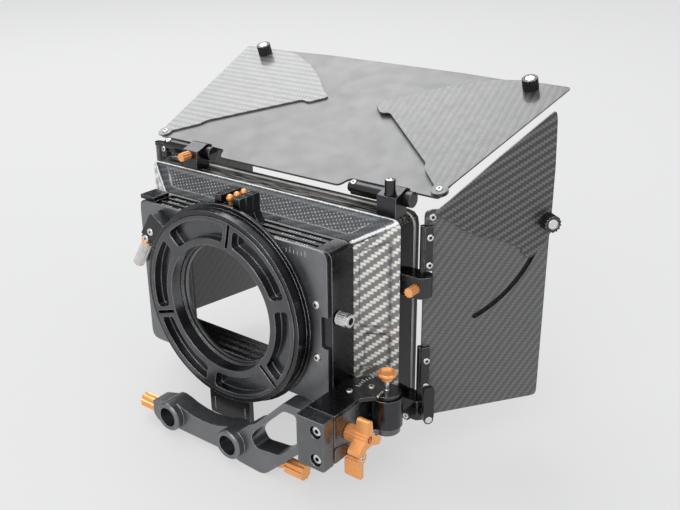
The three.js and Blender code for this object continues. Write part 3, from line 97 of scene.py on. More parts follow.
class Tree:
    """A node tree, with a short method for each kind of node."""

    def __init__(self, tree: bpy.types.NodeTree) -> None:
        """Take hold of a tree."""
        self.tree = tree

    def feed(self, socket: Socket, value: object) -> None:
        """Link a socket, or set its value.

        Args:
            socket: Input socket.
            value: An output socket to link, or a plain value to set.
        """
        if isinstance(value, bpy.types.NodeSocket):
            self.tree.links.new(value, socket)
        else:
            socket.default_value = value

    def node(self, kind: str, inputs: dict, **settings: object) -> bpy.types.Node:
        """Make a node.

        Args:
            kind: Node type, without its ShaderNode prefix.
            inputs: Values or sockets by input name or index.
            **settings: Attributes of the node.

        Returns:
            The new node.
        """
        made = self.tree.nodes.new("ShaderNode" + kind)
        for key, value in settings.items():
            setattr(made, key, value)
        for key, value in inputs.items():
            self.feed(made.inputs[key], value)
        return made

    def math(self, operation: str, first: object, second: object = 0.0) -> Socket:
        """Result of a Math node."""
        return self.node("Math", {0: first, 1: second}, operation=operation).outputs[0]

    def span(self, value: object, low: float, high: float, start: float = 0.0, end: float = 1.0) -> Socket:
        """Value mapped from the range start to end onto low to high, and held there."""
        inputs = {0: value, 1: start, 2: end, 3: low, 4: high}
        return self.node("MapRange", inputs, clamp=True).outputs[0]


class Graph(Tree):
    """Node tree of one new material."""

    def __init__(self, name: str) -> None:
        """Start a material with a Principled shader.

        Args:
            name: Name of the material.
        """
        self.material = bpy.data.materials.new(name)
        self.material.use_nodes = True
        super().__init__(self.material.node_tree)
        self.tree.nodes.clear()
        self.shader = self.tree.nodes.new("ShaderNodeBsdfPrincipled")
        self.output = self.tree.nodes.new("ShaderNodeOutputMaterial")
        self.tree.links.new(self.shader.outputs["BSDF"], self.output.inputs["Surface"])

    def point(self) -> Socket:
        """Place on the piece, in metres."""
        return self.node("TexCoord", {}).outputs["Object"]

    def dot(self, first: object, second: object) -> Socket:
        """Dot product of two vectors."""
        return self.node("VectorMath", {0: first, 1: second}, operation="DOT_PRODUCT").outputs["Value"]

    def along(self, direction: Point) -> Socket:
        """Distance along a direction of the part's frame, in millimetres."""
        return self.dot(self.point(), tuple(Vector(direction).normalized() / MM))

    def attribute(self, name: str) -> Socket:
        """Number that the mesh holds for each vertex."""
        return self.node("Attribute", {}, attribute_name=name).outputs["Fac"]

    def noise(self, kind: Speckle) -> Socket:
        """Noise over the piece.

        Args:
            kind: Its scale, octaves and stretch.

        Returns:
            The output socket, about 0 to 1.
        """
        vector = self.point()
        if kind.stretch != (1, 1, 1):
            vector = self.node("Mapping", {"Vector": vector, "Scale": kind.stretch}).outputs[0]
        inputs = {"Vector": vector, "Scale": kind.scale, "Detail": kind.octaves}
        return self.node("TexNoise", inputs).outputs[0]

    def speckle(self, kind: Speckle, base: float = 0.0) -> Socket:
        """Stretched noise, added to a base."""
        return self.span(self.noise(kind), base + kind.low, base + kind.high, *kind.window)

    def mix(self, share: object, first: object, second: object) -> Socket:
        """Mix of two colours, of which the second takes the share."""
        inputs = {0: share, MIX_COLOURS[0]: first, MIX_COLOURS[1]: second}
        return self.node("Mix", inputs, data_type="RGBA").outputs[MIX_COLOUR_RESULT]

    def either(self, choice: object, first: object, second: object) -> Socket:
        """First value where the choice is 0, second where it is 1."""
        inputs = {0: choice, MIX_FLOATS[0]: first, MIX_FLOATS[1]: second}
        return self.node("Mix", inputs, data_type="FLOAT").outputs[0]

    def bevel(self, radius: float) -> Socket:
        """Normals as if the edges were rounded to a radius in millimetres."""
        return self.node("Bevel", {"Radius": radius * MM}, samples=4).outputs[0]

    def edges(self, radius: float) -> Socket:
        """Mask of the sharp edges: 1 on an edge, 0 further from it than a radius in millimetres."""
        flatness = self.dot(self.bevel(radius), self.node("NewGeometry", {}).outputs["True Normal"])
        return self.span(flatness, 1.0, 0.0, *EDGE)

    def edge_scuff_and_glint(self, colour: object, edge_tone: tuple, width: float, share: float, patches: Speckle) -> Socket:
        """Colour with patches of a second one on its edges: scuffs, and painted edge highlights where that
        colour is light.
        """
        patchy = self.math("MULTIPLY", self.edges(width), self.speckle(patches))
        return self.mix(self.math("MULTIPLY", patchy, share), colour, edge_tone)

    def bump(self, height: object, depth: float, rounding: float) -> Socket:
        """Normals with a relief of a depth, on edges rounded to a radius, both in millimetres."""
        inputs = {"Height": height, "Distance": depth * MM, "Normal": self.bevel(rounding)}
        return self.node("Bump", inputs).outputs[0]

    def finish(self, **inputs: object) -> bpy.types.Material:
        """Feed the shader.

        Args:
            **inputs: Values or sockets by shader input, with _ for a space.

        Returns:
            The material.
        """
        for key, value in inputs.items():
            self.feed(self.shader.inputs[key.replace("_", " ")], value)
        return self.material


def grey(value: float) -> tuple:
    """Opaque neutral colour of a linear brightness."""
    return (value, value, value, 1.0)


def scaled(colour: tuple, gain: float) -> tuple:
    """Opaque colour made brighter or darker by a factor."""
    return tuple(part * gain for part in colour[:3]) + (1.0,)


SLATE = (0.02, 0.026, 0.032, 1.0)
# Painted highlight on the slopes of the relief on the hood's top.
SLOPE_HIGHLIGHT = (0.3, 0.31, 0.31, 1.0)
UMBER = (0.032, 0.03, 0.028, 1.0)
WARM = (0.98, 0.94, 0.86, 1.0)
# Painted shade on the slopes of a relief.
SLOPE_SHADE = grey(0.03)
PALE = grey(0.3)
# Painted highlight on the tows' crowns.
CROWN_HIGHLIGHT_TONE = grey(0.8)
# Lighter edges of the hood: scuffs, and painted highlights on its rounded corners.
SCUFF_AND_GLINT_TONE = grey(0.9)


@dataclass(frozen=True)
class Anodised:
    """Bead-blasted, anodised aluminium whose edges are lighter from scuffs and from painted edge highlights.
    """

    name: str
    colour: tuple
    edge: tuple
    roughness: float
    metallic: float = 0.96
    edge_width: float = 0.6
    edge_patch_share: float = 0.7
    gain: float = 1.35
    mottle: Speckle = Speckle(90.0, 0.0, 0.35, UPPER, RICH)
    patches: Speckle = Speckle(90.0, 0.35, 1.0, LOWER, RICH)
    handling: Speckle = Speckle(340.0, -0.06, 0.08)
    blast: Speckle = Speckle(2600.0, octaves=PLAIN)
    blast_depth: float = 0.012

    def build(self) -> bpy.types.Material:
        """Build the material.

        Returns:
            The material.
        """
        g = Graph(self.name)
        shade = g.mix(g.speckle(self.mottle), self.colour, scaled(self.colour, self.gain))
        # Edges lighter from scuffs and from painted edge highlights.
        colour = g.edge_scuff_and_glint(shade, self.edge, self.edge_width, self.edge_patch_share, self.patches)
        rough = g.speckle(self.handling, self.roughness)
        normal = g.bump(g.noise(self.blast), self.blast_depth, self.edge_width)
        return g.finish(Base_Color=colour, Roughness=rough, Metallic=self.metallic, Normal=normal)


@dataclass(frozen=True)
class TurnedMetal:
    """Bright metal with fine turning lines."""

    name: str
    colour: tuple
    roughness: float = 0.22
    gain: float = 0.7
    stain: Speckle = Speckle(260.0, 0.0, 0.5, (0.4, 0.7))
    lines: Speckle = Speckle(900.0, -0.05, 0.1, MIDDLE, PLAIN, (1.0, 1.0, 14.0))
    line_depth: float = 0.01
    rounding: float = 0.2

    def build(self) -> bpy.types.Material:
        """Build the material.

        Returns:
            The material.
        """
        g = Graph(self.name)
        colour = g.mix(g.speckle(self.stain), self.colour, scaled(self.colour, self.gain))
        rough = g.speckle(self.lines, self.roughness)
        normal = g.bump(g.noise(self.lines), self.line_depth, self.rounding)
        return g.finish(Base_Color=colour, Roughness=rough, Metallic=1.0, Normal=normal)


@dataclass(frozen=True)
class Plastic:
    """Moulded plastic with a fine grain, edges lighter from scuffs and from painted highlights and, if it is
    given, light specks and a painted reflection on its upper faces.
    """

    name: str
    colour: tuple
    roughness: float
    grain_depth: float = 0.03
    edge_width: float = 0.5
    edge_patch_share: float = 0.35
    edge: tuple = PALE
    sheen: float = 0.5
    specks_and_reflection: Speckle | None = None
    upward: tuple = (0.4, 0.8)
    patches: Speckle = Speckle(240.0, 0.4, 1.0, NARROW)
    handling: Speckle = Speckle(200.0, -0.07, 0.1)
    grain: Speckle = Speckle(1500.0)
    rounding: float = 0.4

    def build(self) -> bpy.types.Material:
        """Build the material.

        Returns:
            The material.
        """
        g = Graph(self.name)
        # Edges lighter from scuffs and from painted edge highlights.
        colour = g.edge_scuff_and_glint(self.colour, self.edge, self.edge_width, self.edge_patch_share, self.patches)
        # Light specks on upward faces: partly real specks, partly a painted reflection of the light from
        # above.
        if self.specks_and_reflection:
            facing = g.node("SeparateXYZ", {0: g.node("TexCoord", {}).outputs["Normal"]}).outputs["Z"]
            upward = g.span(facing, 0.0, 1.0, *self.upward)
            colour = g.mix(g.math("MULTIPLY", g.speckle(self.specks_and_reflection), upward), colour, self.edge)
        rough = g.speckle(self.handling, self.roughness)
        normal = g.bump(g.noise(self.grain), self.grain_depth, self.rounding)
        return g.finish(Base_Color=colour, Roughness=rough, Specular_IOR_Level=self.sheen, Normal=normal)


@dataclass(frozen=True)
class Satin:
    """Sheet with a plain satin coat and a faint orange peel."""

    name: str
    colour: tuple
    roughness: float = 0.4
    metallic: float = 0.5
    gain: float = 1.3
    cloud: Speckle = Speckle(35.0, 0.0, 0.5, UPPER, 5.0)
    handling: Speckle = Speckle(70.0, -0.05, 0.07)
    edge: tuple = grey(0.35)
    edge_width: float = 0.3
    edge_share: float = 0.5
    peel: Speckle = Speckle(1100.0, octaves=PLAIN)
    peel_depth: float = 0.008
    rounding: float = 0.4

    def build(self) -> bpy.types.Material:
        """Build the material.

        Returns:
            The material.
        """
        g = Graph(self.name)
        colour = g.mix(g.speckle(self.cloud), self.colour, scaled(self.colour, self.gain))
        # Lighter edges: painted edge highlights.
        colour = g.mix(g.math("MULTIPLY", g.edges(self.edge_width), self.edge_share), colour, self.edge)
        rough = g.speckle(self.handling, self.roughness)
        normal = g.bump(g.noise(self.peel), self.peel_depth, self.rounding)
        return g.finish(Base_Color=colour, Roughness=rough, Metallic=self.metallic, Normal=normal)


@dataclass(frozen=True)
class Carbon:
    """Woven carbon: a two-by-two twill whose ribs run at an angle in the plane of the sheet.

    Sizes are in millimetres and the rib's angle is in degrees. Where a share of painted highlights on the
    crowns
    is given, the mesh holds two attributes: edge, the distance to the nearest edge lightened by scuffs and a
    painted highlight, and recess, the share of the relief.
    """

    name: str
    dark: tuple
    light: tuple
    across: Point
    up: Point
    rib: float
    tow: float = 2.2
    roughness: float = 0.34
    coat: float = 0.5
    relief: float = 0.09
    # Shares of the painted highlights on the crowns and of the painted tone on the relief's slopes, and that
    # tone.
    crown_highlight: float | None = None
    painted_slope: float = 3.0
    painted_slope_tone: tuple = SLOPE_SHADE
    repeat: float = 4.0
    roundness: float = 0.4
    crown: float = 0.65
    least_tone: float = 0.2
    fibres: Speckle = Speckle(700.0, 0.75, 1.0, WIDE, PLAIN)
    # Painted highlights on the crowns, then the hood's edges, lighter from scuffs and painted highlights.
    crown_highlight_heights: tuple = (0.88, 0.97)
    crown_highlight_fibres: Speckle = Speckle(700.0, 0.2, 1.0, (0.35, 0.6), PLAIN)
    ragged: Speckle = Speckle(700.0, -0.35, 0.35)
    scuff_and_glint_window: tuple = (0.5, 1.1)
    scuff_and_glint_share: float = 0.95
    handling: Speckle = Speckle(150.0, -0.05, 0.07)
    coat_roughness: float = 0.12
    rounding: float = 0.25

    def weave(self, g: Graph) -> tuple:
        """Twill of the tows.

        Args:
            g: Graph of the material.

        Returns:
            Whether a place shows the weft, and the height of its tow.
        """
        a, b = Vector(self.across).normalized(), Vector(self.up).normalized()
        angles = [math.radians(self.rib) + turn for turn in (3 * math.pi / 4, math.pi / 4)]
        u, v = (g.math("DIVIDE", g.along(a * math.cos(t) + b * math.sin(t)), self.tow) for t in angles)
        step = g.math("ADD", g.math("FLOOR", u), g.math("FLOOR", v))
        phase = g.math("FLOORED_MODULO", step, self.repeat)
        weft = g.math("GREATER_THAN", phase, self.repeat / 2 - 0.5)
        fu, fv = g.math("FRACT", u), g.math("FRACT", v)
        across = g.math("SINE", g.math("MULTIPLY", g.either(weft, fu, fv), math.pi))
        place = g.math("ADD", g.math("FLOORED_MODULO", phase, self.repeat / 2), g.either(weft, fv, fu))
        crown = g.math("SINE", g.math("MULTIPLY", place, math.pi / 2))
        arch = g.math("ADD", 1.0 - self.crown, g.math("MULTIPLY", crown, self.crown))
        return weft, g.math("MULTIPLY", g.math("POWER", across, self.roundness), arch)

    def scuffs_and_painted_light(self, g: Graph, colour: Socket, height: Socket) -> Socket:
        """Painted highlights on the tows' crowns, a painted tone on the relief's slopes, and edges lighter
        from scuffs and painted highlights, over the weave.

        Args:
            g: Graph of the material.
            colour: Colour of the weave.
            height: Height of the tows.

        Returns:
            The colour.
        """
        recess = g.attribute("recess")
        # Painted highlights on the crowns of the tows.
        crown_highlight = g.math("MULTIPLY", g.span(height, 0.0, 1.0, *self.crown_highlight_heights), g.speckle(self.crown_highlight_fibres))
        crown_highlight = g.math("MULTIPLY", crown_highlight, g.math("MULTIPLY", recess, self.crown_highlight))
        colour = g.mix(crown_highlight, colour, CROWN_HIGHLIGHT_TONE)
        # Painted tone on the relief's slopes: painted shade with the dark default, a painted highlight on the
        # hood's top.
        painted_slope = g.math("MULTIPLY", recess, g.math("SUBTRACT", 1.0, recess))
        colour = g.mix(g.math("MULTIPLY", painted_slope, self.painted_slope), colour, self.painted_slope_tone)
        # Lighter edges of the hood: scuffs, and painted highlights on its rounded corners.
        edge = g.math("ADD", g.math("ABSOLUTE", g.attribute("edge")), g.speckle(self.ragged))
        return g.mix(g.span(edge, self.scuff_and_glint_share, 0.0, *self.scuff_and_glint_window), colour, SCUFF_AND_GLINT_TONE)

    def build(self) -> bpy.types.Material:
        """Build the material.

        Returns:
            The material.
        """
        g = Graph(self.name)
        weft, height = self.weave(g)
        tone = g.math("MULTIPLY", weft, g.span(height, self.least_tone, 1.0, *LOWER))
        tone = g.math("MULTIPLY", tone, g.speckle(self.fibres))
        colour = g.mix(tone, self.dark, self.light)
        # Painted light and scuffs over the weave, on the hood's skin.
        if self.crown_highlight is not None:
            colour = self.scuffs_and_painted_light(g, colour, height)
        rough = g.speckle(self.handling, self.roughness)
        coat = {"Coat_Weight": self.coat, "Coat_Roughness": self.coat_roughness}
        normal = g.bump(height, self.relief, self.rounding)
        return g.finish(Base_Color=colour, Roughness=rough, Normal=normal, **coat)


class Finishes:
    """All materials of the model, built once."""

    # Tilt of the top flag, and turns of the right and of the left flag about their hinges.
    TILT = math.radians(18.87)
    OUT = math.radians(-35.2)
    TURN = math.radians(-9.6)

    def __init__(self) -> None:
        """Build every material."""
        rise = (0.0, math.cos(self.TILT), math.sin(self.TILT))
        ahead = (-math.sin(self.OUT), math.cos(self.OUT), 0.0)
        left_ahead = (-math.sin(self.TURN), math.cos(self.TURN), 0.0)
        flare, slant = (27.7, 16.0, 0.0), (0, 1, 1)
        skin = {"roughness": 0.28, "coat": 0.8, "relief": 0.14}
        # Widths and shares of the lighter edges, which paint edge highlights as well as scuffs.
        dull, glossy = {"edge_width": 0.8, "edge_patch_share": 0.8}, {"edge_width": 1.4, "edge_patch_share": 0.45}
        # Light specks for the rim's upper faces, partly real specks and partly a painted reflection of the
        # light from above; the rim's pale edges are scuffs and painted highlights.
        specks_and_reflection = Speckle(520.0, 0.0, 0.4, (0.42, 0.66), RICH, (0.1, 1.0, 1.0))
        lip = {"edge_width": 1.0, "edge_patch_share": 1.0, "edge": (0.62, 0.6, 0.56, 1), "sheen": 0.16, "specks_and_reflection": specks_and_reflection}
        finishes = [
            Anodised("grey_metal", (0.2, 0.203, 0.212, 1), grey(0.75), 0.36, **dull),
            Anodised("arm_metal", (0.15, 0.152, 0.158, 1), grey(0.75), 0.28, **dull),
            Anodised("plate_metal", (0.205, 0.208, 0.217, 1), grey(0.7), 0.34),
            Anodised("black_metal", (0.06, 0.06, 0.063, 1), grey(0.8), 0.22, edge_patch_share=0.8),
            Anodised("ring_metal", (0.105, 0.106, 0.111, 1), grey(0.7), 0.2, **glossy),
            Anodised("orange_metal", (1.0, 0.42, 0.14, 1), (1.0, 0.8, 0.58, 1), 0.2, 0.5, 0.4),
            TurnedMetal("silver_metal", (0.8, 0.8, 0.78, 1)),
            Plastic("black_plastic", (0.014, 0.014, 0.015, 1), 0.3),
            # Pale colour of the rim's lip: a painted highlight.
            Plastic("lip_highlight", (0.66, 0.65, 0.62, 1), 0.3, edge_patch_share=0.5, edge=(0.12, 0.12, 0.11, 1)),
            Plastic("rim_plastic", (0.004, 0.004, 0.004, 1), 0.16, 0.015, **lip),
            Satin("flag_satin", (0.15, 0.15, 0.151, 1)),
            Plastic("label_white", (0.6, 0.6, 0.58, 1), 0.5, 0.01),
            # Black for the insides of sockets, as painted shade, and for the arm's seams.
            Plastic("socket_shade_and_seam_black", (0.006, 0.006, 0.006, 1), 0.6, 0.01),
            # Copies of one carbon for the flags and wings, their tones set sheet by sheet as painted light
            # and shade: the left wing lightest, the fan and the right wing darkest.
            Carbon("carbon_left_wing", grey(0.12), grey(0.22), RIGHTWARD, rise, 0.0),
            Carbon("carbon_right_wing", grey(0.045), grey(0.1), RIGHTWARD, rise, 100.0, 1.9),
            Carbon("carbon_fan", UMBER, grey(0.14), ahead, UPWARD, 28.0, 1.8),
            Carbon("carbon_right_flag", grey(0.075), grey(0.15), ahead, UPWARD, 52.0, 1.7),
            Carbon("carbon_left_flag", grey(0.1), grey(0.13), left_ahead, UPWARD, 45.0),
            # The hood's sides and level faces take copies of one carbon: a light, glinting weave on the sides
            # and a dark one on the level faces, painted light and shade.
            Carbon("carbon_shell_side", grey(0.2), WARM, flare, UPWARD, 40.0, 2.25, crown_highlight=0.0, **skin),
            Carbon(
                "carbon_shell_top", SLATE, grey(0.07), RIGHTWARD, slant, 20.0, 1.9,
                crown_highlight=0.8, painted_slope=2.0, painted_slope_tone=SLOPE_HIGHLIGHT, **skin,
            ),
        ]
        self.made = {finish.name: finish.build() for finish in finishes}

    def __getitem__(self, name: str) -> bpy.types.Material:
        """Material of a finish."""
        return self.made[name]


class Smoothing:
    """Geometry nodes that join split vertices and smooth all edges but the sharp ones."""

    LIMIT = math.radians(32.0)
    JOIN = 1e-6

    def __init__(self) -> None:
        """Build the node group."""
        self.tree = bpy.data.node_groups.new("smooth_by_angle", "GeometryNodeTree")
        for way in ("INPUT", "OUTPUT"):
            self.tree.interface.new_socket("Geometry", in_out=way, socket_type="NodeSocketGeometry")
        make, link = self.tree.nodes.new, self.tree.links.new
        start, end = make("NodeGroupInput"), make("NodeGroupOutput")
        merge = make("GeometryNodeMergeByDistance")
        merge.inputs["Distance"].default_value = self.JOIN
        angle = make("GeometryNodeInputMeshEdgeAngle")
        over = make("FunctionNodeCompare")
        over.data_type, over.operation = "FLOAT", "GREATER_THAN"
        over.inputs[1].default_value = self.LIMIT
        faces, edges = make("GeometryNodeSetShadeSmooth"), make("GeometryNodeSetShadeSmooth")
        faces.domain, edges.domain = "FACE", "EDGE"
        edges.inputs["Shade Smooth"].default_value = False
        link(start.outputs[0], merge.inputs["Geometry"])
        link(merge.outputs[0], faces.inputs["Geometry"])
        link(faces.outputs[0], edges.inputs["Geometry"])
        link(angle.outputs["Unsigned Angle"], over.inputs[0])
        link(over.outputs[0], edges.inputs["Selection"])
        link(edges.outputs[0], end.inputs[0])

    def apply(self, piece: bpy.types.Object) -> None:
        """Smooth a mesh object."""
        piece.modifiers.new("smooth", "NODES").node_group = self.tree


@dataclass(frozen=True)
class Place:
    """A local frame in millimetres, as a matrix to the part's frame in millimetres."""

    matrix: Matrix = field(default_factory=lambda: Matrix.Identity(4))

    @classmethod
    def at(cls, origin: Point, axis: Point = UPWARD, spin: float = 0.0) -> "Place":
        """Frame whose Z runs along an axis, turned about it by spin degrees."""
        turn = Vector(axis).to_track_quat("Z", "Y").to_matrix().to_4x4()
        return cls(Matrix.Translation(origin) @ turn @ Matrix.Rotation(math.radians(spin), 4, "Z"))

    def to(self, origin: Point, axis: Point = UPWARD, spin: float = 0.0) -> "Place":
        """Frame inside this one, placed in the same way."""
        return Place(self.matrix @ Place.at(origin, axis, spin).matrix)


PART = Place()
TOP_HINGE = (0, 90.5, 171.4)
TOP_SHEET = (0, 9.3, -1.3)
RIGHT_HINGE = (128.9, 85.1, 85)
TOP_FLAG = Place(
    Matrix.Translation(TOP_HINGE) @ Matrix.Rotation(Finishes.TILT, 4, "X") @ Matrix.Translation(TOP_SHEET)
)
RIGHT_FLAG = Place(Matrix.Translation(RIGHT_HINGE) @ Matrix.Rotation(Finishes.OUT, 4, "Z"))


def ring(reach: Callable, height: float, steps: int) -> list:
    """Loop of points about local Z at a height, from a function of the turn that gives the radius."""
    turns = [2 * math.pi * i / steps for i in range(steps)]
    return [(reach(t) * math.cos(t), reach(t) * math.sin(t), height) for t in turns]


def circle(radius: float, height: float, steps: int) -> list:
    """Circle of points about local Z."""
    return ring(lambda turn: radius, height, steps)


class Mesh:
    """A mesh under construction, in millimetres."""

    def __init__(self) -> None:
        """Start empty."""
        self.bm = bmesh.new()

    def rings(self, rings: Sequence, place: Place = PART, caps: bool = True, material: int = 0) -> list:
        """Skin through rings of equal length.

        Args:
            rings: Closed loops of points.
            place: Frame of the points.
            caps: Whether the first and last ring are closed.
            material: Material index of the faces.

        Returns:
            The new faces.
        """
        rows = [[self.bm.verts.new(place.matrix @ Vector(p)) for p in ring] for ring in rings]
        count = len(rows[0])
        faces = []
        for low, high in zip(rows, rows[1:]):
            for i in range(count):
                k = (i + 1) % count
                faces.append(self.bm.faces.new((low[i], low[k], high[k], high[i])))
        if caps:
            faces.append(self.bm.faces.new(rows[0][::-1]))
            faces.append(self.bm.faces.new(rows[-1]))
        for face in faces:
            face.material_index = material
        return faces

    def lathe(self, profile: Sequence[Point], place: Place, steps: int, material: int = 0) -> None:
        """Turned solid about local Z, from pairs of radius and height."""
        self.rings([circle(radius, height, steps) for radius, height in profile], place, True, material)

    def box(self, low: Point, high: Point, place: Place = PART) -> None:
        """Box between its lowest and its highest corner."""
        (x0, y0, z0), (x1, y1, z1) = low, high
        self.rings([[(x0, y0, z), (x1, y0, z), (x1, y1, z), (x0, y1, z)] for z in (z0, z1)], place)

    def weld(self, reach: float = 0.002) -> None:
        """Join vertices that lie within reach of each other."""
        bmesh.ops.remove_doubles(self.bm, verts=self.bm.verts, dist=reach)

    def piece(self, name: str, materials: Sequence[bpy.types.Material]) -> bpy.types.Object:
        """Turn the mesh into an object.

        Args:
            name: Name of the object.
            materials: Materials by index.

        Returns:
            The object.
        """
        bmesh.ops.scale(self.bm, vec=(MM, MM, MM), verts=self.bm.verts)
        bmesh.ops.recalc_face_normals(self.bm, faces=self.bm.faces)
        data = bpy.data.meshes.new(name)
        self.bm.to_mesh(data)
        self.bm.free()
        made = bpy.data.objects.new(name, data)
        bpy.context.scene.collection.objects.link(made)
        for material in materials:
            data.materials.append(material)
        return made


@dataclass(frozen=True)
class SocketScrew:
    """Button-head screw with a hexagon socket; material 0 is its metal and 1 the inside of the socket,
    painted black as shade.
    """

    radius: float
    height: float
    socket: float = 0.5
    steps: int = 24
    dome_shares: tuple = ((1.0, 0.0), (1.0, 0.45), (0.93, 0.75), (0.78, 0.95), (0.62, 1.0))
    floor_share: float = 0.35

    def hexagon(self, height: float) -> list:
        """Loop of points on the socket's hexagon."""
        inner, flat = self.radius * self.socket * math.cos(math.pi / 6), math.pi / 3
        return ring(lambda turn: inner / math.cos(turn % flat - flat / 2), height, self.steps)

    def build(self, mesh: Mesh, place: Place) -> None:
        """Add the screw's head, standing on local Z = 0.

        Args:
            mesh: Mesh to add it to.
            place: Seat of the head.
        """
        dome = [circle(self.radius * r, self.height * h, self.steps) for r, h in self.dome_shares]
        socket = [self.hexagon(self.height), self.hexagon(self.height * self.floor_share)]
        faces = mesh.rings(dome + socket, place)
        for face in [faces[-1], *faces[-2 - self.steps : -2]]:
            face.material_index = 1


@dataclass(frozen=True)
class Fixing:
    """Screws of one kind that face one way; spin turns their sockets, in degrees."""

    screw: SocketScrew
    axis: Point
    spin: float
    seats: tuple

    def build(self, mesh: Mesh, base: Place) -> None:
        """Add the screws to a mesh, with their seats in a base frame."""
        for seat in self.seats:
            self.screw.build(mesh, base.to(seat, self.axis, self.spin))


@dataclass
class Workshop:
    """What every sub-assembly needs: materials, smoothing, and the frame's nodes."""

    finishes: Finishes
    smoothing: Smoothing
    nodes: dict

    def dress(self, finish: str, *nodes: str) -> None:
        """Give CAD nodes their material.

        Args:
            finish: Name of the finish.
            *nodes: Names of the nodes.
        """
        for node in nodes:
            shape = self.nodes[node]
            shape.data.materials.clear()
            shape.data.materials.append(self.finishes[finish])
            self.smoothing.apply(shape)
            LOG.info("dressed %s in %s", node, finish)

    def add(
        self,
        mesh: Mesh,
        name: str,
        body: str,
        slot: Slot,
        finishes: Sequence[str],
        replaces: Sequence[str] = (),
    ) -> None:
        """Finish a new piece and hang it on its body.

        Args:
            mesh: Its mesh.
            name: Its name.
            body: CAD body it moves with.
            slot: Material slot of the record; not used.
            finishes: Names of its finishes by material index.
            replaces: CAD nodes it stands for.
        """
        made = mesh.piece(name, [self.finishes[finish] for finish in finishes])
        self.smoothing.apply(made)
        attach(made, body)
        if replaces:
            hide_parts(*replaces)
        LOG.info("built %s on %s", name, body)

    def screws(self, name: str, body: str, *fixings: Fixing, base: Place = PART) -> None:
        """Add a piece made of socket screws.

        Args:
            name: Its name.
            body: CAD body it moves with.
            *fixings: The screws.
            base: Frame of their seats.
        """
        mesh = Mesh()
        for fixing in fixings:
            fixing.build(mesh, base)
        self.add(mesh, name, body, Slot.METAL, ("silver_metal", "socket_shade_and_seam_black"))


